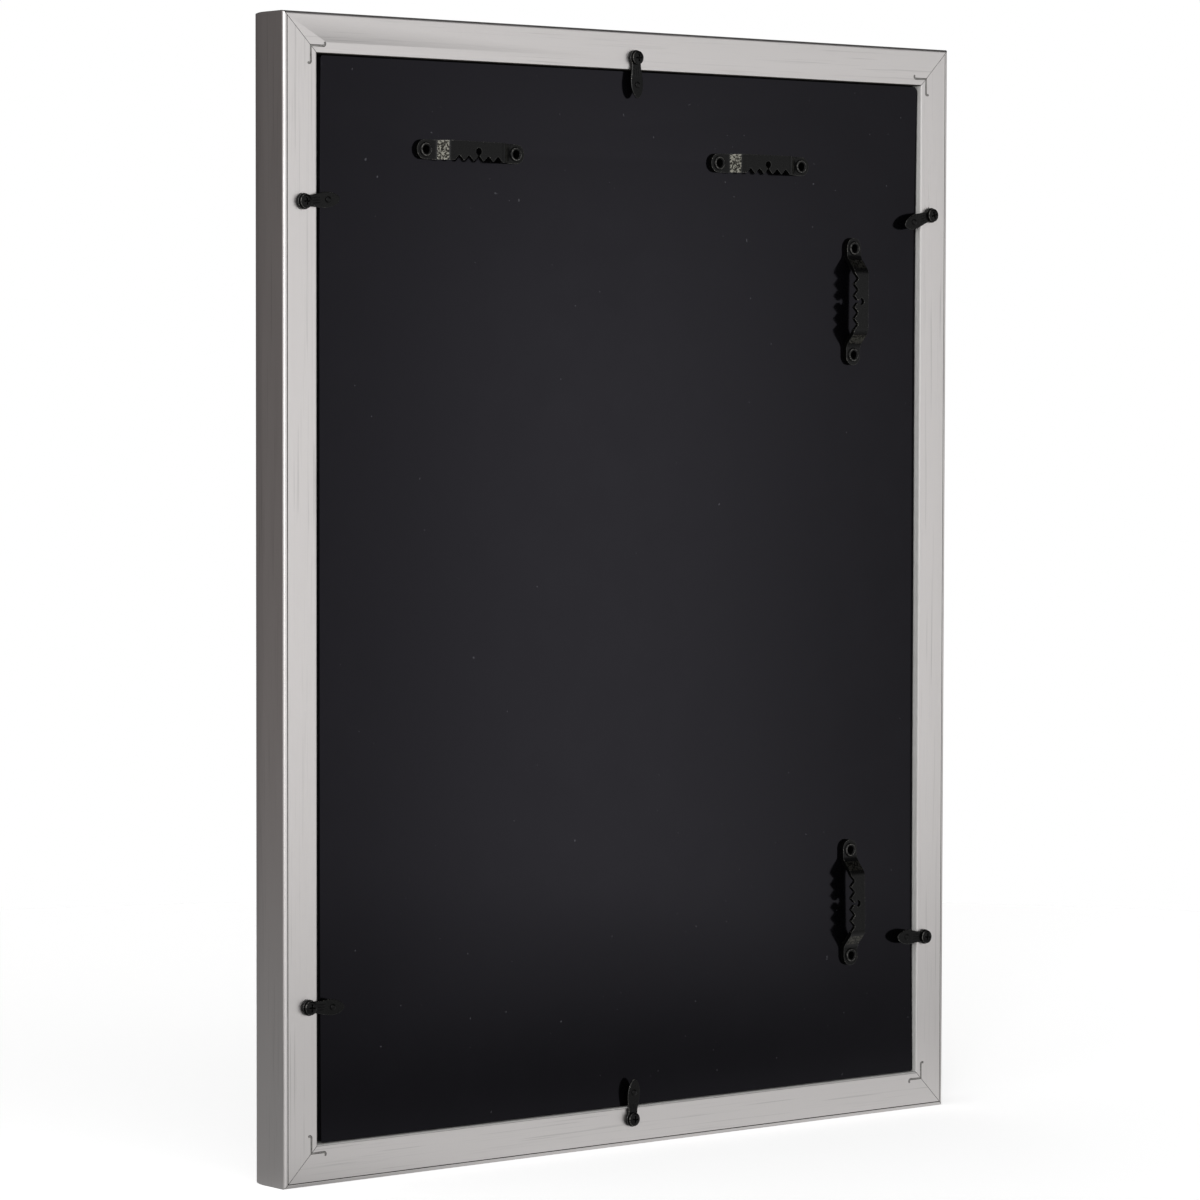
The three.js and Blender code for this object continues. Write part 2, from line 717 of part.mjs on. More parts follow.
// Turn buttons on their screws, and the pilot holes in the rails
for (const place of button_places) {
  const group = side_group(place.side);
  photo_frame.add(group);
  const eye_seat = button_seat(place, button_lift);
  const button = named(`turn_button_${place.name}`, button_geometry(), black_steel);
  button.rotation.z = place.turned * degree;
  eye_seat.add(button);
  const head_seat = button_seat(place, head_under);
  head_seat.add(named(`button_screw_${place.name}`, screw_geometry(), black_steel));
  group.add(eye_seat, head_seat);
  const pilot_depth = screw_length + pilot_clearance;
  const pilot_radius = screw_radius + pilot_clearance;
  const pilot = new THREE.Mesh(post(pilot_radius, pilot_depth + cutter_overrun, bore_segments));
  const pilot_seat = button_seat(place, -pilot_depth);
  pilot_seat.add(pilot);
  group.add(pilot_seat);
  carve(rails[place.side], [pilot]);
  group.remove(pilot_seat);
}

export default photo_frame;
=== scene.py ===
"""The looks of a collage photo frame: silver rails, black board, hangers and turn buttons."""

import json
import math

import bmesh
import bpy
from mathutils import Matrix, Vector


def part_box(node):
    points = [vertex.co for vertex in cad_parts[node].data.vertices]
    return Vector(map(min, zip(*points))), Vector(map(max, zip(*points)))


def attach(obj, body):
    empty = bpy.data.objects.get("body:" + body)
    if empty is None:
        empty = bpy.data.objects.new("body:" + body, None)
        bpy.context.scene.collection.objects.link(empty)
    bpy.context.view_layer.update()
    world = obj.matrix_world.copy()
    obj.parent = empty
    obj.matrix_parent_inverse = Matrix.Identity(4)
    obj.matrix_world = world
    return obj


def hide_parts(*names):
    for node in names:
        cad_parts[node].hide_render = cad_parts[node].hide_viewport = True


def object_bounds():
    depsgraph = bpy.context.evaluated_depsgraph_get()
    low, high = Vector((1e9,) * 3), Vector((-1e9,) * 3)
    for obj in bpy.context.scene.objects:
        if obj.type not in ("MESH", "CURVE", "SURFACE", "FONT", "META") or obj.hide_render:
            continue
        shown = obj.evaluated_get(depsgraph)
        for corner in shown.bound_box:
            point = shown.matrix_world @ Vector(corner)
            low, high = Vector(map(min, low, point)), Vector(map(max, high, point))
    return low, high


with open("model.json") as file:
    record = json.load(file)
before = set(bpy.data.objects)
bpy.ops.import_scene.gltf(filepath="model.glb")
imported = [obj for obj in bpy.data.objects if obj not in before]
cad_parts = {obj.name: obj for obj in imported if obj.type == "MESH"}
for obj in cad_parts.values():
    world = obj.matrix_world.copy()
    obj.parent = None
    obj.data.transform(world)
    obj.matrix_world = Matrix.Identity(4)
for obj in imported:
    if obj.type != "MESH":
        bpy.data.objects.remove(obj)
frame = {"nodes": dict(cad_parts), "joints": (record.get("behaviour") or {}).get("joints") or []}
cad_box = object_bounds()

MM = 0.001
DEGREE = math.pi / 180
BACKWARDS = Vector((0, 1, 0))

# Camera, as solved from the photograph
CAMERA_PLACE = Vector((1.21705, 1.469385, 0.30525))
CAMERA_TURN = (87.3272 * DEGREE, -0.126 * DEGREE, 140.6199 * DEGREE)
CAMERA_LENS = 144.77
SENSOR_WIDTH = 36
CAMERA_FAR = 50

# Sizes of the moulding
BACK_WIDTH = 15.3 * MM
LIP_REACH = 5 * MM
ARRIS_RADIUS = 1.3 * MM
INNER_ARRIS_RADIUS = 0.6 * MM
MITRE_GAP = 0.25 * MM
SEAM_INSET = 1.55 * MM
SEAM_WIDTH = 0.3 * MM
SEAM_DEPTH = 0.15 * MM
CAMBER_REACH = 5 * MM
CAMBER_DEPTH = 0.35 * MM
CAMBER_STEPS = 5
ARRIS_SEGMENTS = 6
INNER_ARRIS_SEGMENTS = 3
GLASS_PLAY = 0.05 * MM

# Holes in the rails
NAIL_CLEARANCE = 0.25 * MM
PILOT_RADIUS = 1.4 * MM
PILOT_DEPTH = 9.3 * MM

# Board
BOARD_CORNER = 0.8 * MM
BOARD_CORNER_SEGMENTS = 4
BOARD_WORN_CORNER = 2.4 * MM
BOARD_WORN_CORNER_SEGMENTS = 8
BOARD_EDGE_EASING = 0.15 * MM
BOARD_EDGE_SEGMENTS = 3
BOARD_RISE = 0.1 * MM
BOARD_BOW = 0.95 * MM
BOARD_BOW_POWER = 4
BOARD_BOW_STEPS = 24
BOARD_WIDER_BY = 1 * MM
EYELET_HOLE_RADIUS = 2.1 * MM
EYELET_HOLE_REACH = 10 * MM

# Turn buttons. Each one's entry says which side it is on and how far it is turned at rest
EYE_RADIUS = 3.05 * MM
EYE_ARCS = 4
BOSS_RADIUS = 2.8 * MM
BOSS_FOOT_RADIUS = 2.5 * MM
BOSS_HEIGHT = 0.2 * MM
PLATE_THICKNESS = 0.85 * MM
BUTTON_REACH = 15.9 * MM
NECK_HALF_WIDTH = 2.15 * MM
LEAF_HALF_WIDTH = 3 * MM
LEAF_WIDEST_AT = 9.8 * MM
LEAF_EASING = 3.4 * MM
LEAF_TIP_EASING = 1.3 * MM
NECK_EASING = 2.6 * MM
BEND_AT = 7.7 * MM
TIP_RISE = 0.5 * MM
BUTTON_EDGE_EASING = 0.28 * MM
SCREW_HOLE_RADIUS = 1.4 * MM
RIB_PITCH = 1.05 * MM
RIB_LENGTH = 3.6 * MM
RIB_HALF_WIDTH = 0.27 * MM
RIB_HEIGHT = 0.25 * MM
RIB_MIDDLE = 5.25 * MM
DIMPLE_AT = 10.6 * MM
DIMPLE_RADIUS = 1.25 * MM
DIMPLE_DEPTH = 0.5 * MM
DIMPLE_LIFT = 0.1 * MM
BUTTON_TURNS = {
    "top": (2, 1.5),
    "bottom": (0, -2.2),
    "right_upper": (3, 4.5),
    "right_lower": (3, -3),
    "left_upper": (1, 16.5),
    "left_lower": (1, -3),
}

# Screws
HEAD_RADIUS = 2.7 * MM
HEAD_EDGE = 0.6 * MM
HEAD_DOME = 0.75 * MM
HEAD_STEPS = 8
HEAD_RIM = 0.09 * MM
HEAD_CLEARANCE = 0.3 * MM
SHANK_RADIUS = 1.1 * MM
SHANK_LENGTH = 10.6 * MM
SHANK_POINT = 3 * MM
SHANK_POINT_RADIUS = 0.15 * MM
DRIVE_WIDTH = 0.9 * MM
DRIVE_SPAN = 3.8 * MM
DRIVE_DEPTH = 0.9 * MM
DRIVE_TAPER = 0.7

# Hangers and eyelets
HOLE_SPACING = 43.5 * MM
END_REACH = 4.2 * MM
HANGER_WIDTH = 7.5 * MM
HANGER_THICKNESS = 1.7 * MM
HANGER_BRIDGE = 25.1 * MM
HANGER_SLOPE = 5.6 * MM
HANGER_RISE = 4.9 * MM
HANGER_RIM = 0.12 * MM
HANGER_ROUNDING = 0.999
HANGER_END_SEGMENTS = 12
TOOTH_COUNT = 5
TOOTH_PITCH = 4.68 * MM
TOOTH_DEPTH = 2 * MM
TOOTH_FLAT = 0.4 * MM
TOOTH_POINT_SHARE = 0.06
KEYHOLE_RADIUS = 1.4 * MM
KEYHOLE_FROM_EDGE = 3.7 * MM
KEYHOLE_SLOT = 0.9 * MM
KEYHOLE_SLOT_OVERLAP = 0.3 * MM
EYELET_BORE = 1.5 * MM
EYELET_OUTER = 1.8 * MM
EYELET_FLANGE = 2.85 * MM
EYELET_FLANGE_HEIGHT = 0.6 * MM
EYELET_CLINCH = 2.55 * MM
EYELET_CLINCH_HEIGHT = 0.4 * MM
EYELET_LIP = 0.15 * MM
EYELET_PLAY = 0.1 * MM
EYELET_ROLL_STEPS = 12
# Where the painted highlight ring lies on each eyelet's crest
EYELET_RIM_FROM = 2.15 * MM
EYELET_RIM_TO = 2.5 * MM

# How near two places are the same, and how many sides round shapes have
TOUCH = 0.005 * MM
TURNED_SIDES = 48
HOLE_SIDES = 32
SMALL_HOLE_SIDES = 24

# How far a bend is rounded to either side, in half steps, and where a hanger's bends are sliced
BEND_EASING = 0.6 * MM
HANGER_BEND_EASING = 1.1 * MM
BEND_STEPS = (-2, -1, 0, 1, 2)
HANGER_BEND_STEPS = range(-4, 3)

# Limits on a face's normal along an axis, from seen edge-on to facing it
EDGE_ON = 0.2
LEANING = 0.3
HALF_TURNED = 0.5
SLANTED = 0.6
SLOPING = 0.8
FACING = 0.9
LEVEL = 0.95

# How a button on the bottom rail faces: its own Z is backwards and its leaf points up
FACING_UP = Matrix(((0, 1, 0, 0), (0, 0, 1, 0), (1, 0, 0, 0), (0, 0, 0, 1)))

# Colours and weights of the foil, the board and the prints
BLACK = (0, 0, 0, 1)
WHITE = (1, 1, 1, 1)
FOIL_GRAINS = {"silver_foil_across": (22, 1500, 1500), "silver_foil_upright": (1500, 1500, 22)}
FOIL_SILVER = (0.66, 0.636, 0.627, 1)
FOIL_TONE = 0.71
FOIL_STREAK = 0.6
FOIL_CLOUD = 0.06
FOIL_SCRATCH = 0.16
FOIL_ROUGHNESS = 0.32
FOIL_ROUGHNESS_SPREAD = 0.12
BOARD_BLACK = (0.0008, 0.0008, 0.001, 1)
BOARD_BLUISH = (0.0022, 0.002, 0.0026, 1)
BOARD_DUST = (0.05, 0.05, 0.055, 1)
BOARD_SHEEN = (0.86, 0.82, 1.0, 1)
BOARD_ROUGHNESS = 0.11
BOARD_ROUGHNESS_SPREAD = 0.04
CARD_ROUGHNESS = 0.8
CARD_ROUGHNESS_SPREAD = 0.15
SKY = (-0.02, 0.07)
FAR_RIDGE = (0.012, 0.0135)
FAR_SWAY = 0.05
FAR_SWAY_SCALE = (14, 0, 0)
NEAR_RIDGE = (-0.004, -0.0025)
NEAR_SWAY = 0.06
NEAR_SWAY_SCALE = (9, 0, 3)

# Each print's colours: the low sky, the high sky, the far hills and the near hills
VIEWS = [
    ((0.85, 0.62, 0.42, 1), (0.3, 0.45, 0.62, 1), (0.28, 0.3, 0.36, 1), (0.12, 0.15, 0.16, 1)),
    ((0.78, 0.86, 0.9, 1), (0.25, 0.48, 0.72, 1), (0.22, 0.38, 0.3, 1), (0.13, 0.26, 0.1, 1)),
    ((0.9, 0.8, 0.66, 1), (0.5, 0.62, 0.72, 1), (0.62, 0.48, 0.34, 1), (0.45, 0.33, 0.2, 1)),
    ((0.86, 0.72, 0.74, 1), (0.32, 0.36, 0.58, 1), (0.2, 0.28, 0.42, 1), (0.06, 0.16, 0.26, 1)),
]

# Surround: the camera sees white, and these levels are mirrored. Pairs are the ends of an easing
DARK_SIDE = (0.634, -0.772, 0)
ACROSS_BACK = (-0.772, -0.634, 0)
DARK_OVERHEAD = (-0.64, 0.1, 0.76)
WORLD_STRENGTH = 3
SURROUND_LEVEL = 0.84
HORIZON = (-0.09, 0)
HORIZON_LIFT = 0.04
PANEL_LIFT = 1.5
PANEL_TOP = (0.012, 0.052)
PANEL_START = (-0.055, -0.015)
PANEL_END = (0.022, 0.048)
HIGH = (0.03, 0.4)
HIGH_DROP = 0.15
DARK = (0.5, 0.88)
DARK_LEVEL = 0.24
DARK_HORIZON_DROP = 0.17
DARK_TINT = (1, 0.91, 0.89, 1)
ACROSS = (-0.25, 0.25)
ACROSS_LEVELS = (1.3, 0.7)
OVERHEAD = (0.6, 0.85)
OVERHEAD_LEVELS = (1, 0.03)

# Floor: what the camera sees of it is pale, and the levels are mirrored
FLOOR_RADIUS = 0.9
FLOOR_SIDES = 96
FLOOR_STRENGTH = 1.5
FLOOR_COLOR = (0.84, 0.84, 0.84, 1)
FLOOR_LIFT = 0.6
FLOOR_NEAR = (0.06, 0.2)
FLOOR_NEAR_LEVELS = (0.7, 0.45)
FLOOR_FAR = (0.2, 0.65)
FLOOR_FAR_LIFT = 0.3
FLOOR_MIDDLE_LIFT = 0.6
FLOOR_MIDDLE_START = (-0.16, -0.07)
FLOOR_MIDDLE_END = (0.07, 0.13)
FLOOR_PATCH_SIDE = (0.14, 0.2)
FLOOR_PATCH_END = (0.12, 0.2)
FLOOR_PATCH_DARKNESS = 0.75
FLOOR_DARK = (0, 0.15)
FLOOR_DARK_LEVELS = (1, 0.4)

# Lamp
LAMP_PLACE = (1.46, 1.55, 0.72)
LAMP_AIM = (0, 0, 0.4)
LAMP_SIZE = (0.42, 0.8)
LAMP_POWER = 10


# Camera

camera = bpy.data.objects.new("camera", bpy.data.cameras.new("camera"))
bpy.context.scene.collection.objects.link(camera)
camera.location = CAMERA_PLACE
camera.rotation_euler = CAMERA_TURN
camera.data.lens = CAMERA_LENS
camera.data.sensor_width = SENSOR_WIDTH
camera.data.clip_end = CAMERA_FAR
bpy.context.scene.camera = camera
bpy.context.scene.view_settings.view_transform = "Standard"


# Shader maths and materials

class Value:
    """A number that a node gives. Arithmetic on it adds Math nodes."""

    def __init__(self, finish, socket):
        self.finish = finish
        self.socket = socket

    def _maths(self, operation, *numbers):
        return self.finish.node("ShaderNodeMath", {"operation": operation}, dict(enumerate(numbers)))

    def __add__(self, other):
        return self._maths("ADD", self, other)

    def __radd__(self, other):
        return self._maths("ADD", other, self)

    def __sub__(self, other):
        return self._maths("SUBTRACT", self, other)

    def __rsub__(self, other):
        return self._maths("SUBTRACT", other, self)

    def __mul__(self, other):
        return self._maths("MULTIPLY", self, other)

    def __rmul__(self, other):
        return self._maths("MULTIPLY", other, self)


class Finish:
    """A node tree, with one method that adds a node and a few named recipes."""

    def __init__(self, owner):
        owner.use_nodes = True
        self.owner = owner
        self.tree = owner.node_tree
        self.tree.nodes.clear()

    def node(self, kind, settings, inputs, output=0):
        node = self.tree.nodes.new(kind)
        for name, setting in settings.items():
            setattr(node, name, setting)
        for name, given in inputs.items():
            if isinstance(given, Value):
                self.tree.links.new(given.socket, node.inputs[name])
            else:
                node.inputs[name].default_value = given
        if not node.outputs:
            return None
        return Value(self, node.outputs[output])

    def place(self, middle=(0, 0, 0), scale=(1, 1, 1)):
        """Object coordinates moved to a middle and scaled along each axis."""
        here = self.node("ShaderNodeTexCoord", {}, {}, "Object")
        moved = self.node("ShaderNodeVectorMath", {"operation": "SUBTRACT"}, {0: here, 1: middle})
        return self.node("ShaderNodeMapping", {}, {"Vector": moved, "Scale": scale})

    def axes(self, vector):
        return [self.node("ShaderNodeSeparateXYZ", {}, {0: vector}, axis) for axis in range(3)]

    def along(self, vector, direction):
        """How far a vector reaches in a direction."""
        return self.node("ShaderNodeVectorMath", {"operation": "DOT_PRODUCT"}, {0: vector, 1: direction},
                         "Value")

    def noise(self, vector, scale, detail=2, roughness=0.5):
        return self.node("ShaderNodeTexNoise", {"normalize": True},
                         {"Vector": vector, "Scale": scale, "Detail": detail, "Roughness": roughness}, "Fac")

    def ramp(self, value, low, high, to_low=0, to_high=1):
        """Eases from to_low to to_high while the value goes from low to high."""
        return self.node("ShaderNodeMapRange", {"interpolation_type": "SMOOTHSTEP"},
                         {"Value": value, "From Min": low, "From Max": high,
                          "To Min": to_low, "To Max": to_high})

    def blend(self, share, first, second):
        return self.node("ShaderNodeMix", {"data_type": "RGBA"}, {0: share, 6: first, 7: second}, 2)

    def bump(self, height, distance, strength=1):
        return self.node("ShaderNodeBump", {}, {"Height": height, "Distance": distance, "Strength": strength})

    def surface(self, **inputs):
        named = {name.replace("_", " "): given for name, given in inputs.items()}
        shader = self.node("ShaderNodeBsdfPrincipled", {}, named)
        self.node("ShaderNodeOutputMaterial", {}, {"Surface": shader})
        return self.owner


def new_finish(name):
    return Finish(bpy.data.materials.new(name))


def mottled(name, dark, light, scale, detail, roughness, spread,
            grain=(1, 1, 1), fineness=0.5, dent=0, dent_strength=0.5, **inputs):
    """A finish whose colour, roughness and bump all follow one fine noise."""
    finish = new_finish(name)
    mottle = finish.noise(finish.place(scale=grain), scale, detail, fineness)
    inputs["Base_Color"] = finish.blend(mottle, dark, light)
    inputs["Roughness"] = roughness + mottle * spread
    if dent:
        inputs["Normal"] = finish.bump(mottle, dent, dent_strength)
    return finish.surface(**inputs)


def silver_foil(name, grain):
    """Satin silver foil with fine streaks along the rail. The grain scales are small along it."""
    finish = new_finish(name)
    streaks = finish.noise(finish.place(scale=grain), scale=1, detail=3, roughness=0.65)
    marks = finish.noise(finish.place(scale=grain), scale=0.6, detail=1)
    scratches = finish.ramp(marks, low=0.63, high=0.7)
    broad = finish.noise(finish.place(scale=(9, 9, 9)), scale=1)
    tone = FOIL_TONE + streaks * FOIL_STREAK + broad * FOIL_CLOUD - scratches * FOIL_SCRATCH
    fine = finish.noise(finish.place(scale=grain), scale=3)
    return finish.surface(
        Base_Color=finish.blend(tone, BLACK, FOIL_SILVER),
        Metallic=1.0,
        Roughness=FOIL_ROUGHNESS + streaks * FOIL_ROUGHNESS_SPREAD,
        Normal=finish.bump(fine, distance=0.02 * MM, strength=0.5),
    )


def board_paint():
    """Smooth black paint with a bluish sheen and a little dust on it."""
    finish = new_finish("board_paint")
    mottle = finish.noise(finish.place(), scale=60, detail=4)
    fine = finish.noise(finish.place(), scale=900, detail=3)
    dust = finish.ramp(finish.noise(finish.place(), scale=420, detail=1), low=0.79, high=0.83)
    return finish.surface(
        Base_Color=finish.blend(dust, finish.blend(mottle, BOARD_BLACK, BOARD_BLUISH), BOARD_DUST),
        Roughness=BOARD_ROUGHNESS + mottle * BOARD_ROUGHNESS_SPREAD,
        Specular_IOR_Level=0.14,
        Specular_Tint=BOARD_SHEEN,
        Normal=finish.bump(fine, distance=0.01 * MM, strength=0.3),
    )


def worn_rim_painted_highlight(roughness, spread):
    """Edges where the lacquer is worn and specks of bare steel show: they shine more, and their bright specks
    are also a painted highlight along the edges.
    """
    finish = new_finish("worn_rim_painted_highlight")
    speck = finish.ramp(finish.noise(finish.place(), scale=1800), low=0.58, high=0.68)
    worn = finish.noise(finish.place(), scale=500, detail=3)
    return finish.surface(
        Base_Color=finish.blend(speck, (0.006, 0.006, 0.005, 1), (0.3, 0.29, 0.26, 1)),
        Metallic=speck,
        Roughness=roughness + worn * spread,
        Specular_IOR_Level=0.55,
        Normal=finish.bump(worn, distance=0.05 * MM, strength=0.5),
    )


def speckled_steel_painted_glint(name, dark, bright, roughness=0.3, spread=0.1):
    """Slopes and rings with specks of bare steel between what is left of the lacquer, put where highlights
    fall as a painted glint.
    """
    finish = new_finish(name)
    speck = finish.ramp(finish.noise(finish.place(), scale=1300), low=0.42, high=0.6)
    return finish.surface(
        Base_Color=finish.blend(speck, dark, bright),
        Metallic=1.0,
        Roughness=roughness + speck * spread,
        Normal=finish.bump(speck, distance=0.06 * MM, strength=0.5),
    )


def picture_glass(roughness, spread):
    finish = new_finish("picture_glass")
    wave = finish.noise(finish.place(), scale=4)
    return finish.surface(
        Base_Color=(0.94, 0.985, 0.965, 1),
        Transmission_Weight=1.0,
        IOR=1.5,
        Roughness=roughness + wave * spread,
    )


def mat_card():
    """Off-white card with a fine tooth and a few broad fibres."""
    finish = new_finish("mat_card")
    tooth = finish.noise(finish.place(), scale=1400, detail=4, roughness=0.6)
    fibre = finish.noise(finish.place(), scale=120, detail=3)
    return finish.surface(
        Base_Color=finish.blend(fibre, (0.86, 0.85, 0.82, 1), (0.9, 0.89, 0.865, 1)),
        Roughness=CARD_ROUGHNESS + tooth * CARD_ROUGHNESS_SPREAD,
        Normal=finish.bump(tooth, distance=0.06 * MM, strength=0.4),
    )


def print_paper(name, middle, sky_low, sky_high, hill_far, hill_near, roughness=0.3, spread=0.1):
    """A plain made-up view: a graded sky over two soft bands of hills."""
    finish = new_finish(name)
    here = finish.place(middle=middle)
    _, _, up = finish.axes(here)
    sway_far = finish.noise(finish.place(middle=middle, scale=FAR_SWAY_SCALE), scale=1)
    sway_near = finish.noise(finish.place(middle=middle, scale=NEAR_SWAY_SCALE), scale=1)
    sky = finish.blend(finish.ramp(up, *SKY), sky_low, sky_high)
    far = finish.ramp(up + sway_far * FAR_SWAY, *FAR_RIDGE)
    near = finish.ramp(up + sway_near * NEAR_SWAY, *NEAR_RIDGE)
    with_far = finish.blend(far, hill_far, sky)
    grain = finish.noise(here, scale=2500)
    return finish.surface(
        Base_Color=finish.blend(near, hill_near, with_far),
        Roughness=roughness + grain * spread,
        Normal=finish.bump(grain, distance=0.02 * MM, strength=0.3),
    )


foils = [silver_foil(name, grain) for name, grain in FOIL_GRAINS.items()]
rim_highlight = worn_rim_painted_highlight(roughness=0.2, spread=0.15)
# Painted glints: speckled steel on the hangers' slopes, and brighter steel on the eyelets' crests and the
# screws' domes and edges
slope_glint = speckled_steel_painted_glint("slope_painted_glint", (0.006, 0.006, 0.005, 1), (0.11, 0.107, 0.092, 1))
bared_glint = speckled_steel_painted_glint("bared_ring_painted_highlight", (0.03, 0.03, 0.029, 1), (0.13, 0.127, 0.12, 1))

# Painted shadow in seams, nail slots, pilot holes and the top rail's rebate wall, and the dark joints of the
# mitres, with glue and dust in it
gap = mottled(
    "dark_gap", dark=(0.012, 0.011, 0.01, 1), light=(0.06, 0.055, 0.05, 1),
    scale=900, detail=3, roughness=0.8, spread=0.1, Specular_IOR_Level=0.1,
)

# The rebate's wall, where the foil stops: pale primed wood
bare = mottled(
    "bare_edge", dark=(0.5, 0.49, 0.475, 1), light=(0.66, 0.655, 0.64, 1), grain=(1, 1, 0.4),
    scale=700, detail=3, fineness=0.6, roughness=0.7, spread=0.2, dent=0.05 * MM, Specular_IOR_Level=0.3,
)

# Black lacquer on the faces of the small steel parts
lacquer = mottled(
    "black_lacquer", dark=(0.0015, 0.0015, 0.0015, 1), light=(0.004, 0.004, 0.004, 1),
    scale=1200, detail=3, roughness=0.22, spread=0.12, dent=0.04 * MM, Specular_IOR_Level=0.13,
)

# Painted shade: a darker, duller black on the side walls, holes and recesses of the small steel parts, and
# under the buttons' plates
painted_shade_black = mottled(
    "black_painted_shade", dark=(0.0005, 0.0005, 0.0005, 1), light=(0.002, 0.002, 0.002, 1),
    scale=900, detail=3, roughness=0.5, spread=0.2, Specular_IOR_Level=0.04,
)

# Bright and dull steel of the corner nails
steel = mottled(
    "nail_steel", dark=(0.05, 0.045, 0.04, 1), light=(0.5, 0.49, 0.47, 1),
    scale=1500, detail=3, roughness=0.35, spread=0.2, dent=0.05 * MM, Metallic=1.0,
)

# Dark grey card with fibres lying up and down, made this dark as painted shade where it shows through the
# eyelet holes and round the board
filler = mottled(
    "filler_card", dark=(0.018, 0.018, 0.019, 1), light=(0.032, 0.032, 0.034, 1), grain=(1, 1, 0.3),
    scale=300, detail=4, fineness=0.6, roughness=0.85, spread=0.1, dent=0.08 * MM, dent_strength=0.4,
)


# Modelling by hand

def only(obj):
    bpy.ops.object.select_all(action="DESELECT")
    obj.select_set(True)
    bpy.context.view_layer.objects.active = obj


def new_piece(name):
    obj = bpy.context.object
    obj.name = name
    obj.data.name = name
    return obj


def settle(obj):
    """Puts the object's place and turn into its mesh."""
    only(obj)
    bpy.ops.object.transform_apply(location=True, rotation=True, scale=True)
    return obj


def block(name, low, high):
    """A cube between two corners."""
    bpy.ops.object.select_all(action="DESELECT")
    low, high = Vector(low), Vector(high)
    bpy.ops.mesh.primitive_cube_add(size=1, location=(low + high) / 2)
    obj = new_piece(name)
    obj.scale = high - low
    return settle(obj)


def post(name, radius, low, high, place=(0, 0), sides=HOLE_SIDES):
    """A cylinder along Z from low to high."""
    bpy.ops.object.select_all(action="DESELECT")
    bpy.ops.mesh.primitive_cylinder_add(vertices=sides, radius=radius, depth=high - low,
                                        location=(place[0], place[1], (low + high) / 2))
    return settle(new_piece(name))


def pick(obj, kind, test):
    """In edit mode, selects the vertices, edges or faces that pass a test."""
    bpy.ops.mesh.select_mode(type=kind)
    bpy.ops.mesh.select_all(action="DESELECT")
    shape = bmesh.from_edit_mesh(obj.data)
    elements = {"VERT": shape.verts, "EDGE": shape.edges, "FACE": shape.faces}[kind]
    for element in elements:
        if test(element):
            element.select_set(True)
    shape.select_flush_mode()
    bmesh.update_edit_mesh(obj.data)


def shape_mode(obj):
    only(obj)
    bpy.ops.object.mode_set(mode="EDIT")
    bpy.ops.mesh.select_all(action="SELECT")


def object_mode():
    bpy.ops.object.mode_set(mode="OBJECT")


def slice_at(point, normal, **clear):
    bpy.ops.mesh.select_all(action="SELECT")
    bpy.ops.mesh.bisect(plane_co=point, plane_no=normal, **clear)


def apply(obj, kind, **settings):
    """Adds a modifier with its settings and applies it."""
    only(obj)
    modifier = obj.modifiers.new(kind, kind)
    for name, setting in settings.items():
        setattr(modifier, name, setting)
    bpy.ops.object.modifier_apply(modifier=modifier.name)
    return obj


def cut(obj, tool, keep_tool=False):
    apply(obj, "BOOLEAN", operation="DIFFERENCE", solver="EXACT", object=tool)
    if not keep_tool:
        bpy.data.objects.remove(tool)
    return obj


def join_on(obj, part):
    apply(obj, "BOOLEAN", operation="UNION", solver="EXACT", object=part)
    bpy.data.objects.remove(part)
    return obj


def push(obj, direction, distance, share_at):
    """Moves each vertex along X, Y or Z by the distance times its own share."""
    group = obj.vertex_groups.new(name="share")
    for vertex in obj.data.vertices:
        group.add([vertex.index], share_at(vertex.co), "REPLACE")
    apply(obj, "DISPLACE", direction=direction, mid_level=0, strength=distance, vertex_group="share")
    obj.vertex_groups.clear()
    return obj


def smooth(obj, angle=32):
    """Rounds the shading of bevels and turned faces, and keeps large faces flat."""
    only(obj)
    bpy.ops.object.shade_smooth_by_angle(angle=angle * DEGREE)
    return apply(obj, "WEIGHTED_NORMAL", mode="FACE_AREA", weight=100, keep_sharp=True)


def copy_of(obj, name, matrix):
    twin = bpy.data.objects.new(name, obj.data.copy())
    twin.data.name = name
    bpy.context.scene.collection.objects.link(twin)
    twin.data.transform(matrix)
    return twin


def dress(obj, *finishes):
    obj.data.materials.clear()
    for finish in finishes:
        obj.data.materials.append(finish)
    return obj


def paint(obj, index, test):
    """Gives another of the piece's finishes to the faces that pass a test."""
    shape_mode(obj)
    pick(obj, "FACE", test)
    obj.active_material_index = index
    bpy.ops.object.material_slot_assign()
    object_mode()


def stand_for(obj, node, body):
    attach(obj, body)
    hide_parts(node)
    return obj


def turned(name, stations, closed=False):
    """A shape turned about Z through (radius, height) stations. A closed profile makes a ring."""
    bpy.ops.object.select_all(action="DESELECT")
    radius, height = stations[0]
    fill = "NOTHING" if closed else "NGON"
    bpy.ops.mesh.primitive_circle_add(vertices=TURNED_SIDES, radius=radius, fill_type=fill,
                                      location=(0, 0, height))
    obj = settle(new_piece(name))
    shape_mode(obj)
    # A ring's first circle has edges and no face, so edges are what is selected
    bpy.ops.mesh.select_mode(type="EDGE")
    bpy.ops.mesh.select_all(action="SELECT")
    if closed:
        stations = stations + stations[:1]
    for next_radius, next_height in stations[1:]:
        bpy.ops.mesh.extrude_region_move(TRANSFORM_OT_translate={"value": (0, 0, next_height - height)})
        share = next_radius / radius
        bpy.ops.transform.resize(value=(share, share, 1), center_override=(0, 0, next_height))
        radius, height = next_radius, next_height
    bpy.ops.mesh.select_all(action="SELECT")
    bpy.ops.mesh.remove_doubles(threshold=TOUCH)
    bpy.ops.mesh.normals_make_consistent(inside=False)
    bpy.ops.mesh.select_mode(type="FACE")
    object_mode()
    return obj


# Stage: a pale floor, a white surround and a soft lamp

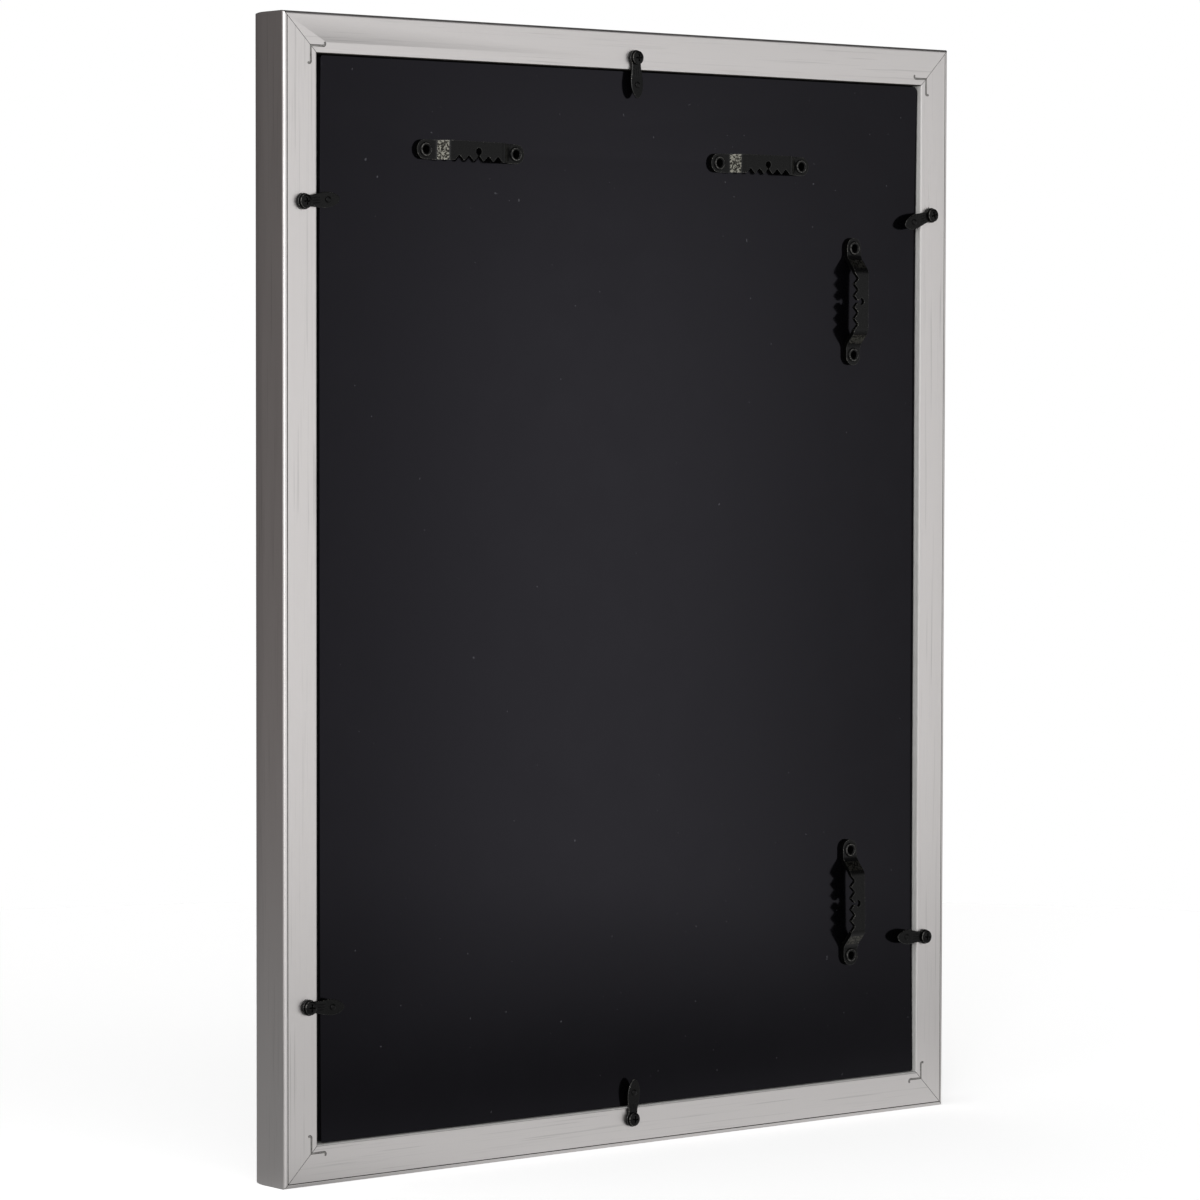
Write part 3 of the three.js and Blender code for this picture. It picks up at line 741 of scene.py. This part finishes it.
def make_world():
    """White to the eye. What the foil mirrors is paler above than below, with one dark side."""
    world = bpy.data.worlds.new("studio")
    finish = Finish(world)
    direction = finish.node("ShaderNodeTexCoord", {}, {}, "Generated")
    _, _, up = finish.axes(direction)
    across = finish.along(direction, ACROSS_BACK)
    above = finish.ramp(up, *HORIZON)
    dark = finish.ramp(finish.along(direction, DARK_SIDE), *DARK)
    panel = finish.ramp(up, *PANEL_TOP, 1, 0) * finish.ramp(across, *PANEL_START)
    panel = panel * finish.ramp(across, *PANEL_END, 1, 0)
    plain = SURROUND_LEVEL + above * HORIZON_LIFT + panel * PANEL_LIFT - finish.ramp(up, *HIGH, 0, HIGH_DROP)
    shaded = DARK_LEVEL - above * DARK_HORIZON_DROP
    level = (plain + dark * (shaded - plain)) * finish.ramp(across, *ACROSS, *ACROSS_LEVELS)
    level = level * finish.ramp(finish.along(direction, DARK_OVERHEAD), *OVERHEAD, *OVERHEAD_LEVELS)
    eye = finish.node("ShaderNodeLightPath", {}, {}, "Is Camera Ray")
    seen = level + eye * (1 - level)
    tint = finish.blend(dark * (1 - eye), WHITE, DARK_TINT)
    color = finish.blend(seen * (1 / WORLD_STRENGTH), BLACK, tint)
    background = finish.node("ShaderNodeBackground", {}, {"Color": color, "Strength": WORLD_STRENGTH})
    finish.node("ShaderNodeOutputWorld", {}, {"Surface": background})
    bpy.context.scene.world = world


def make_floor():
    """A pale disc. What the board and the foil mirror of it has its own levels."""
    bpy.ops.object.select_all(action="DESELECT")
    bpy.ops.mesh.primitive_circle_add(vertices=FLOOR_SIDES, radius=FLOOR_RADIUS, fill_type="NGON")
    floor = new_piece("floor")
    finish = new_finish("pale_floor")
    eye = finish.node("ShaderNodeLightPath", {}, {}, "Is Camera Ray")
    mirrored = finish.node("ShaderNodeLightPath", {}, {}, "Is Glossy Ray")
    here = finish.place()
    _, behind, _ = finish.axes(here)
    side = finish.along(here, ACROSS_BACK)
    middle = finish.ramp(side, *FLOOR_MIDDLE_START) * finish.ramp(side, *FLOOR_MIDDLE_END, 1, 0)
    far = finish.ramp(behind, *FLOOR_FAR) * (FLOOR_FAR_LIFT + middle * FLOOR_MIDDLE_LIFT)
    level = finish.ramp(behind, *FLOOR_NEAR, *FLOOR_NEAR_LEVELS) + far
    patch = finish.ramp(side, *FLOOR_PATCH_SIDE) * finish.ramp(behind, *FLOOR_PATCH_END, 1, 0)
    level = level * finish.ramp(finish.along(here, DARK_SIDE), *FLOOR_DARK, *FLOOR_DARK_LEVELS)
    level = level * (1 - patch * FLOOR_PATCH_DARKNESS)
    share = (eye * FLOOR_LIFT + mirrored * level) * (1 / FLOOR_STRENGTH)
    finish.surface(
        Base_Color=finish.blend(mirrored, FLOOR_COLOR, BLACK),
        Roughness=1.0,
        Emission_Color=finish.blend(share, BLACK, WHITE),
        Emission_Strength=FLOOR_STRENGTH,
    )
    dress(floor, finish.owner)


def make_lamp(name, place, aim, size, power):
    lamp = bpy.data.objects.new(name, bpy.data.lights.new(name, "AREA"))
    bpy.context.scene.collection.objects.link(lamp)
    lamp.data.shape = "RECTANGLE"
    lamp.data.size, lamp.data.size_y = size
    lamp.data.energy = power
    lamp.location = place
    lamp.rotation_euler = (Vector(aim) - Vector(place)).to_track_quat("-Z", "Y").to_euler()


# Rails

whole_low, whole_high = cad_box
rail_low, rail_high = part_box("bottom_rail")
FRONT_Y = rail_low.y
BACK_Y = rail_high.y
FRAME_HEIGHT = whole_high.z - whole_low.z
FRAME_WIDTH = whole_high.x - whole_low.x
MIDDLE = Vector((0, 0, FRAME_HEIGHT / 2))
LIP_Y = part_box("glass_pane")[0].y - GLASS_PLAY


def lies_on(edge, height, depth):
    """True for an edge along X at a height and a depth."""
    places = [vertex.co for vertex in edge.verts]
    return all(abs(place.z - height) < TOUCH and abs(place.y - depth) < TOUCH for place in places)


def make_rail(name, length, to_edge, foil, wall, has_seam):
    """One rail as the bottom one lies, with its outer face towards -Z, about the frame's middle."""
    outer = -to_edge
    inner = outer + BACK_WIDTH
    rail = block(name, (-length / 2, FRONT_Y, outer), (length / 2, BACK_Y, inner))
    dress(rail, foil, gap, wall)
    shape_mode(rail)
    slice_at((0, LIP_Y, 0), (0, 1, 0))
    pick(rail, "FACE", lambda face: face.normal.z > FACING and face.calc_center_median().y < LIP_Y)
    bpy.ops.mesh.extrude_region_move(TRANSFORM_OT_translate={"value": (0, 0, LIP_REACH)})
    pick(rail, "EDGE", lambda edge: lies_on(edge, outer, FRONT_Y) or lies_on(edge, outer, BACK_Y))
    bpy.ops.mesh.bevel(offset=ARRIS_RADIUS, segments=ARRIS_SEGMENTS, affect="EDGES")
    lip = inner + LIP_REACH
    pick(rail, "EDGE", lambda edge: lies_on(edge, inner, BACK_Y) or lies_on(edge, lip, FRONT_Y))
    bpy.ops.mesh.bevel(offset=INNER_ARRIS_RADIUS, segments=INNER_ARRIS_SEGMENTS, affect="EDGES")
    camber_start = FRONT_Y + ARRIS_RADIUS
    for step in range(CAMBER_STEPS):
        slice_at((0, camber_start + CAMBER_REACH * (step + 1) / CAMBER_STEPS, 0), (0, 1, 0))
    if has_seam:
        for inset in (SEAM_INSET, SEAM_INSET + SEAM_WIDTH):
            slice_at((0, 0, outer + inset), (0, 0, 1))
        pick(rail, "FACE", lambda face: face.normal.y > FACING and
             0 < face.calc_center_median().z - outer - SEAM_INSET < SEAM_WIDTH)
        bpy.ops.mesh.extrude_region_move(TRANSFORM_OT_translate={"value": (0, -SEAM_DEPTH, 0)})
    object_mode()

    def camber_share(place):
        if place.z > outer + ARRIS_RADIUS + TOUCH:
            return 0
        left = 1 - (place.y - camber_start) / CAMBER_REACH
        return min(max(left, 0), 1) ** 2

    push(rail, "Z", CAMBER_DEPTH, camber_share)
    shape_mode(rail)
    half = length / 2 - MITRE_GAP / 2
    for end in (-1, 1):
        slice_at((end * half, 0, outer), (end, 0, 1), clear_outer=True, use_fill=True)
    object_mode()

    def in_gap(face):
        place = face.calc_center_median()
        across = place.z - outer - SEAM_INSET
        depth = BACK_Y - place.y
        in_seam = -TOUCH < across < SEAM_WIDTH + TOUCH and TOUCH < depth < SEAM_DEPTH + TOUCH
        return in_seam or (abs(face.normal.x) > SLANTED and face.normal.z > SLANTED)

    def in_rebate(face):
        place = face.calc_center_median()
        at_wall = abs(place.z - inner) < INNER_ARRIS_RADIUS + TOUCH
        return face.normal.z > LEANING and place.y > LIP_Y and at_wall

    # The rebate wall gets the wall finish, painted shadow on the top rail; the seam's groove gets painted
    # shadow and the mitre ends dark joints
    paint(rail, 2, in_rebate)
    paint(rail, 1, in_gap)
    return rail


def turned_side(turns):
    """The matrix that turns the bottom side to another side, about the frame's middle."""
    return Matrix.Translation(MIDDLE) @ Matrix.Rotation(turns * math.pi / 2, 4, "Y")


def nail_cutter(nail):
    """A corner nail's own shape, a little fatter, for the slot that it lies in."""
    cutter = copy_of(frame["nodes"][nail], "slot_" + nail, Matrix())
    shape_mode(cutter)
    bpy.ops.mesh.remove_doubles(threshold=TOUCH)
    object_mode()
    # The nail slot's walls get painted shadow
    dress(cutter, gap)
    return apply(cutter, "DISPLACE", direction="NORMAL", mid_level=0, strength=NAIL_CLEARANCE)


sides = {
    "bottom": (0, FRAME_WIDTH, FRAME_HEIGHT / 2),
    "left": (1, FRAME_HEIGHT, FRAME_WIDTH / 2),
    "top": (2, FRAME_WIDTH, FRAME_HEIGHT / 2),
    "right": (3, FRAME_HEIGHT, FRAME_WIDTH / 2),
}
corners = ("bottom_left", "top_left", "top_right", "bottom_right")
axles = {joint["name"]: Vector(joint["pos_m"]) for joint in frame["joints"]}
slots = {corner: nail_cutter("corner_nail_" + corner) for corner in corners}
# Pilot holes' walls get painted shadow
pilot = dress(post("pilot", PILOT_RADIUS, -PILOT_DEPTH, MM, sides=SMALL_HOLE_SIDES), gap)
for side, (turns, length, to_edge) in sides.items():
    is_top = side == "top"
    # The top rail's rebate wall faces down over the gap above the board and gets painted shadow; the others
    # stay pale primed wood
    wall = gap if is_top else bare
    rail = make_rail(side + "_moulding", length, to_edge, foils[turns % 2], wall, has_seam=not is_top)
    rail.data.transform(turned_side(turns))
    for corner, slot in slots.items():
        if side in corner:
            cut(rail, slot, keep_tool=True)
    for button, (button_turns, _) in BUTTON_TURNS.items():
        if button_turns == turns:
            axle = axles[button + "_button_turn"]
            hole = copy_of(pilot, "hole", Matrix.Translation((axle.x, BACK_Y, axle.z)) @ FACING_UP)
            cut(rail, hole)
    smooth(rail)
    stand_for(rail, side + "_rail", "frame")
for tool in list(slots.values()) + [pilot]:
    bpy.data.objects.remove(tool)


# Backing board

board_low, board_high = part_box("backing_board")
BOARD_MIDDLE_Z = (board_low.z + board_high.z) / 2
BOARD_HALF_HEIGHT = (board_high.z - board_low.z) / 2


def bow_share(place):
    """The share of its bow that the board has at a height. Its front stays flat."""
    if place.y < board_low.y + MM:
        return 0
    return ((place.z - BOARD_MIDDLE_Z) / BOARD_HALF_HEIGHT) ** BOARD_BOW_POWER


def corner_edge(edge, worn):
    """True for an edge from front to back at the worn corner of the board, or at the other three."""
    first, second = (vertex.co for vertex in edge.verts)
    if abs(first.x - second.x) > TOUCH or abs(first.z - second.z) > TOUCH:
        return False
    is_worn = first.x < 0 and first.z > BOARD_MIDDLE_Z
    return is_worn == worn


hanger_nodes = ("top_right", "top_left", "side_upper", "side_lower")
board = block("board", board_low, (board_high.x + BOARD_WIDER_BY, board_high.y + BOARD_RISE, board_high.z))
shape_mode(board)
pick(board, "EDGE", lambda edge: corner_edge(edge, False))
bpy.ops.mesh.bevel(offset=BOARD_CORNER, segments=BOARD_CORNER_SEGMENTS, affect="EDGES")
pick(board, "EDGE", lambda edge: corner_edge(edge, True) and edge.verts[0].co.x < board_low.x + TOUCH)
bpy.ops.mesh.bevel(offset=BOARD_WORN_CORNER, segments=BOARD_WORN_CORNER_SEGMENTS, affect="EDGES")
pick(board, "EDGE", lambda edge: all(vertex.co.y > board_low.y + MM for vertex in edge.verts))
bpy.ops.mesh.bevel(offset=BOARD_EDGE_EASING, segments=BOARD_EDGE_SEGMENTS, affect="EDGES")
object_mode()
hole = post("hole", EYELET_HOLE_RADIUS, -EYELET_HOLE_REACH, EYELET_HOLE_REACH)
for hanger in hanger_nodes:
    for end in "ab":
        low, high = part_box("eyelet_" + hanger + "_" + end)
        middle = (low + high) / 2
        cut(board, copy_of(hole, "hole", Matrix.Translation((middle.x, board_high.y, middle.z)) @ FACING_UP))
bpy.data.objects.remove(hole)
shape_mode(board)
for step in range(1, BOARD_BOW_STEPS):
    slice_at((0, 0, board_low.z + 2 * BOARD_HALF_HEIGHT * step / BOARD_BOW_STEPS), (0, 0, 1))
object_mode()
push(board, "Y", BOARD_BOW, bow_share)
smooth(board)
dress(board, board_paint())
stand_for(board, "backing_board", "frame")


# Hangers and eyelets

EAR_MIDDLE = HOLE_SPACING / 2
BEND_LEAN = math.tan(math.atan2(HANGER_RISE, HANGER_SLOPE) / 2)
THROUGH = HANGER_THICKNESS + MM


def bridge_share(reach):
    return min(max((HANGER_BRIDGE / 2 + HANGER_SLOPE - reach) / HANGER_SLOPE, 0), 1)


def eased(function, x, easing):
    """A function's mean over the rounding of a bend."""
    return sum(function(x + step * easing / 2) for step in BEND_STEPS) / len(BEND_STEPS)


def make_hanger():
    """A sawtooth hanger along X, its teeth towards -Y and its bridge up."""
    half = HANGER_WIDTH / 2
    end = EAR_MIDDLE + END_REACH
    strip = block("hanger", (-end, -half, 0), (end, half, HANGER_THICKNESS))
    dress(strip, lacquer, painted_shade_black, rim_highlight, slope_glint)
    shape_mode(strip)
    pick(strip, "EDGE", lambda edge: abs(edge.verts[0].co.z - edge.verts[1].co.z) > TOUCH)
    bpy.ops.mesh.bevel(offset=half * HANGER_ROUNDING, segments=HANGER_END_SEGMENTS, affect="EDGES")
    object_mode()
    for side in (-1, 1):
        cut(strip, post("hole", EYELET_HOLE_RADIUS, -MM, THROUGH, (side * EAR_MIDDLE, 0)))
    root = (TOOTH_PITCH - TOOTH_FLAT) / 2 * (TOOTH_DEPTH + MM) / TOOTH_DEPTH
    for index in range(TOOTH_COUNT):
        middle = (index - (TOOTH_COUNT - 1) / 2) * TOOTH_PITCH
        tooth = block("tooth", (middle - root, -half - MM, -MM), (middle + root, TOOTH_DEPTH - half, THROUGH))
        shape_mode(tooth)
        pick(tooth, "VERT", lambda vertex: vertex.co.y > -half)
        bpy.ops.transform.resize(value=(TOOTH_POINT_SHARE, 1, 1), center_override=(middle, 0, 0))
        object_mode()
        cut(strip, tooth)
    slot_start = TOOTH_DEPTH - half - KEYHOLE_SLOT_OVERLAP
    slot_end = KEYHOLE_FROM_EDGE - half
    cut(strip, post("keyhole", KEYHOLE_RADIUS, -MM, THROUGH, (0, slot_end), sides=SMALL_HOLE_SIDES))
    cut(strip, block("slot", (-KEYHOLE_SLOT / 2, slot_start, -MM), (KEYHOLE_SLOT / 2, slot_end, THROUGH)))
    shape_mode(strip)
    for side in (-1, 1):
        for bend in (HANGER_BRIDGE / 2, HANGER_BRIDGE / 2 + HANGER_SLOPE):
            for step in HANGER_BEND_STEPS:
                slice_at((side * (bend + step * HANGER_BEND_EASING / 2), 0, 0), (1, 0, 0))
    object_mode()
    # Painted shade on the strip's side walls, teeth, keyhole and ear holes
    paint(strip, 1, lambda face: abs(face.normal.z) < HALF_TURNED)

    def lifted(place):
        reach = abs(place.x) + BEND_LEAN * (HANGER_THICKNESS - place.z)
        return eased(bridge_share, reach, HANGER_BEND_EASING)

    push(strip, "Z", HANGER_RISE, lifted)
    # Painted glint on both slopes; the bevel's faces below get a painted highlight along every edge
    paint(strip, 3, lambda face: HALF_TURNED < face.normal.z < SLOPING)
    apply(strip, "BEVEL", width=HANGER_RIM, segments=2, limit_method="ANGLE", angle_limit=40 * DEGREE,
          material=2, use_clamp_overlap=False)
    return smooth(strip)


def make_eyelet():
    """A flanged tube about Z, its flange on a hanger's ear at Z = 0 of the board's back face."""
    seat = HANGER_THICKNESS
    top = seat + EYELET_FLANGE_HEIGHT
    end = -(board_high.y - board_low.y) + EYELET_PLAY
    roll = EYELET_FLANGE - EYELET_BORE
    stations = [
        (EYELET_BORE, end),
        (EYELET_CLINCH, end),
        (EYELET_CLINCH, end + EYELET_CLINCH_HEIGHT),
        (EYELET_OUTER, end + EYELET_CLINCH_HEIGHT),
        (EYELET_OUTER, seat),
        (EYELET_FLANGE, seat),
    ]
    for step in range(EYELET_ROLL_STEPS + 1):
        angle = step / EYELET_ROLL_STEPS * math.pi
        stations.append((EYELET_BORE + roll / 2 * (1 + math.cos(angle)),
                         seat + EYELET_LIP + (top - seat - EYELET_LIP) * math.sin(angle)))
    ring = dress(turned("eyelet", stations, closed=True), lacquer, painted_shade_black, bared_glint)

    def radius_of(face):
        place = face.calc_center_median()
        return math.hypot(place.x, place.y)

    # Painted highlight on the crest of the rolled flange, and painted shade in the bore
    paint(ring, 2, lambda face: face.normal.z > EDGE_ON and EYELET_RIM_FROM < radius_of(face) < EYELET_RIM_TO)
    paint(ring, 1, lambda face: radius_of(face) < EYELET_BORE + EYELET_PLAY)
    return smooth(ring, angle=40)


def seat_of(hanger):
    """Where a hanger lies on the bowed board and how it is turned, from its two eyelets."""
    first, second = (sum(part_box("eyelet_" + hanger + "_" + end), Vector()) / 2 for end in "ab")
    along = (second - first).normalized()
    turn = Matrix((along, BACKWARDS.cross(along), BACKWARDS)).transposed().to_4x4()
    middle = (first + second) / 2
    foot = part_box("hanger_" + hanger)[0].y + BOARD_RISE
    lift = BOARD_BOW * max(bow_share(first), bow_share(second))
    return Matrix.Translation((middle.x, foot + lift, middle.z)) @ turn


hanger_model = make_hanger()
eyelet_model = make_eyelet()
for hanger in hanger_nodes:
    seat = seat_of(hanger)
    strip = copy_of(hanger_model, "sawtooth_hanger_" + hanger, seat)
    stand_for(strip, "hanger_" + hanger, "frame")
    for end, side in (("a", -1), ("b", 1)):
        place = seat @ Matrix.Translation((side * EAR_MIDDLE, 0, 0))
        ring = copy_of(eyelet_model, "hanger_eyelet_" + hanger + "_" + end, place)
        stand_for(ring, "eyelet_" + hanger + "_" + end, "frame")
bpy.data.objects.remove(hanger_model)
bpy.data.objects.remove(eyelet_model)


# Turn buttons and their screws

def button_outline():
    """The button's plate as a flat filled curve, converted to a mesh."""
    meet = math.asin(NECK_HALF_WIDTH / EYE_RADIUS)
    points = [
        ((LEAF_WIDEST_AT, -LEAF_HALF_WIDTH), (-NECK_EASING, 0), (LEAF_EASING, 0)),
        ((BUTTON_REACH, 0), (0, -LEAF_TIP_EASING), (0, LEAF_TIP_EASING)),
        ((LEAF_WIDEST_AT, LEAF_HALF_WIDTH), (LEAF_EASING, 0), (-NECK_EASING, 0)),
    ]
    arc = (2 * math.pi - 2 * meet) / EYE_ARCS
    # The usual length for the handles of a Bezier curve that follows a circle
    handle = 4 / 3 * math.tan(arc / 4) * EYE_RADIUS
    for step in range(EYE_ARCS + 1):
        angle = meet + step * arc
        along = (-math.sin(angle) * handle, math.cos(angle) * handle)
        before = (NECK_EASING, 0) if step == 0 else (-along[0], -along[1])
        after = (NECK_EASING, 0) if step == EYE_ARCS else along
        points.append(((EYE_RADIUS * math.cos(angle), EYE_RADIUS * math.sin(angle)), before, after))
    bpy.ops.object.select_all(action="DESELECT")
    bpy.ops.curve.primitive_bezier_circle_add()
    outline = new_piece("turn_button")
    outline.data.splines.clear()
    spline = outline.data.splines.new("BEZIER")
    spline.bezier_points.add(len(points) - 1)
    for point, (place, before, after) in zip(spline.bezier_points, points):
        place = Vector(place + (0,))
        point.handle_left_type = point.handle_right_type = "FREE"
        point.co = place
        point.handle_left = place + Vector(before + (0,))
        point.handle_right = place + Vector(after + (0,))
    spline.use_cyclic_u = True
    outline.data.dimensions = "2D"
    outline.data.fill_mode = "BOTH"
    outline.data.resolution_u = 10
    outline.data.extrude = PLATE_THICKNESS / 2 - BUTTON_EDGE_EASING
    outline.data.bevel_depth = BUTTON_EDGE_EASING
    outline.data.bevel_resolution = 2
    outline.data.offset = -BUTTON_EDGE_EASING
    outline.location.z = BOSS_HEIGHT + PLATE_THICKNESS / 2
    only(outline)
    bpy.ops.object.convert(target="MESH")
    plate = settle(bpy.context.object)
    shape_mode(plate)
    bpy.ops.mesh.remove_doubles(threshold=TOUCH)
    bpy.ops.mesh.normals_make_consistent(inside=False)
    object_mode()
    return plate


def tip_share(x):
    return max((x - BEND_AT) / (BUTTON_REACH - BEND_AT), 0)


def ball(name, middle, radii):
    bpy.ops.object.select_all(action="DESELECT")
    bpy.ops.mesh.primitive_uv_sphere_add(segments=24, ring_count=12, radius=1, location=middle)
    obj = new_piece(name)
    obj.scale = radii
    return settle(obj)


def make_button():
    """A turn button about Z, its leaf along +X and its boss under Z = 0."""
    plate = dress(button_outline(), lacquer, painted_shade_black, rim_highlight)
    plate_top = BOSS_HEIGHT + PLATE_THICKNESS
    # Painted shade on the plate's side walls, and a painted highlight on its eased top edge
    paint(plate, 1, lambda face: abs(face.normal.z) < EDGE_ON)
    paint(plate, 2, lambda face: EDGE_ON < face.normal.z < LEVEL)
    shape_mode(plate)
    for step in BEND_STEPS:
        slice_at((BEND_AT + step * BEND_EASING / 2, 0, 0), (1, 0, 0))
    object_mode()
    push(plate, "Z", TIP_RISE, lambda place: min(eased(tip_share, place.x, BEND_EASING), 1))
    boss_top = BOSS_HEIGHT + PLATE_THICKNESS / 2
    boss = turned("boss", [(BOSS_FOOT_RADIUS, 0), (BOSS_RADIUS, BOSS_HEIGHT), (BOSS_RADIUS, boss_top)])
    # The boss under the plate and the screw hole get painted shade
    join_on(plate, dress(boss, painted_shade_black))
    rib_size = (RIB_LENGTH / 2, RIB_HALF_WIDTH, RIB_HEIGHT)
    for index in (-1, 0, 1):
        rib = ball("rib", (RIB_MIDDLE, index * RIB_PITCH, plate_top), rib_size)
        join_on(plate, dress(rib, lacquer))
    cut(plate, dress(post("hole", SCREW_HOLE_RADIUS, -MM, plate_top + MM), painted_shade_black))
    dimple_top = plate_top + TIP_RISE * tip_share(DIMPLE_AT)
    dimple_size = (DIMPLE_RADIUS, DIMPLE_RADIUS, DIMPLE_DEPTH + DIMPLE_LIFT)
    cut(plate, ball("dimple", (DIMPLE_AT, 0, dimple_top + DIMPLE_LIFT), dimple_size))
    return smooth(plate, angle=38)


def make_screw():
    """A screw about Z: the underside of its head is at Z = 0."""
    point_z = -SHANK_LENGTH
    stations = [
        (SHANK_POINT_RADIUS, point_z),
        (SHANK_RADIUS, point_z + SHANK_POINT),
        (SHANK_RADIUS, 0),
        (HEAD_RADIUS, 0),
    ]
    for step in range(HEAD_STEPS):
        angle = step / HEAD_STEPS * math.pi / 2
        stations.append((HEAD_RADIUS * math.cos(angle), HEAD_EDGE + HEAD_DOME * math.sin(angle)))
    screw = dress(turned("screw", stations), lacquer, painted_shade_black, bared_glint)
    head_top = HEAD_EDGE + HEAD_DOME

    def on_dome(face):
        return face.calc_center_median().z > HEAD_EDGE and LEANING < face.normal.z < SLOPING

    # Painted shade on the head's side and the shank, and a painted highlight ring on the dome
    paint(screw, 1, lambda face: face.calc_center_median().z < HEAD_EDGE)
    paint(screw, 2, on_dome)
    # Each arm of the cross recess gets painted shade
    for across, along in ((DRIVE_WIDTH, DRIVE_SPAN), (DRIVE_SPAN, DRIVE_WIDTH)):
        slot_low = (-across / 2, -along / 2, head_top - DRIVE_DEPTH)
        slot = block("slot", slot_low, (across / 2, along / 2, head_top + MM))
        shape_mode(slot)
        pick(slot, "FACE", lambda face: face.normal.z < -FACING)
        bpy.ops.transform.resize(value=(DRIVE_TAPER, DRIVE_TAPER, 1), center_override=(0, 0, 0))
        object_mode()
        cut(screw, dress(slot, painted_shade_black))
    # The bevel's faces get a painted glint along the recess and the head's edges
    apply(screw, "BEVEL", width=HEAD_RIM, segments=2, limit_method="ANGLE", angle_limit=35 * DEGREE,
          material=2)
    return smooth(screw, angle=35)


button_model = make_button()
screw_model = make_screw()
for button, (turns, turned_by) in BUTTON_TURNS.items():
    axle = axles[button + "_button_turn"]
    low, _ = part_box("turn_button_" + button)
    to_side = Matrix.Rotation(turns * math.pi / 2, 4, "Y")
    spin = to_side @ FACING_UP @ Matrix.Rotation(turned_by * DEGREE, 4, "Z")
    leaf = copy_of(button_model, "button_" + button, Matrix.Translation((axle.x, low.y, axle.z)) @ spin)
    stand_for(leaf, "turn_button_" + button, "button_" + button)
    under_head = low.y + BOSS_HEIGHT + PLATE_THICKNESS + HEAD_CLEARANCE
    screw = copy_of(screw_model, "screw_" + button, Matrix.Translation((axle.x, under_head, axle.z)) @ spin)
    stand_for(screw, "button_screw_" + button, "frame")
bpy.data.objects.remove(button_model)
bpy.data.objects.remove(screw_model)


# Nails, glass, mat, prints and filler

for corner in corners:
    dress(frame["nodes"]["corner_nail_" + corner], steel)
dress(frame["nodes"]["glass_pane"], picture_glass(roughness=0.01, spread=0.01))
dress(frame["nodes"]["collage_mat"], mat_card())
dress(frame["nodes"]["filler_card"], filler)
for index, colors in enumerate(VIEWS):
    number = str(index + 1)
    low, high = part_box("photo_print_" + number)
    paper = print_paper("print_" + number, tuple((low + high) / 2), *colors)
    dress(frame["nodes"]["photo_print_" + number], paper)

make_world()
make_floor()
make_lamp("key_lamp", LAMP_PLACE, LAMP_AIM, LAMP_SIZE, LAMP_POWER)
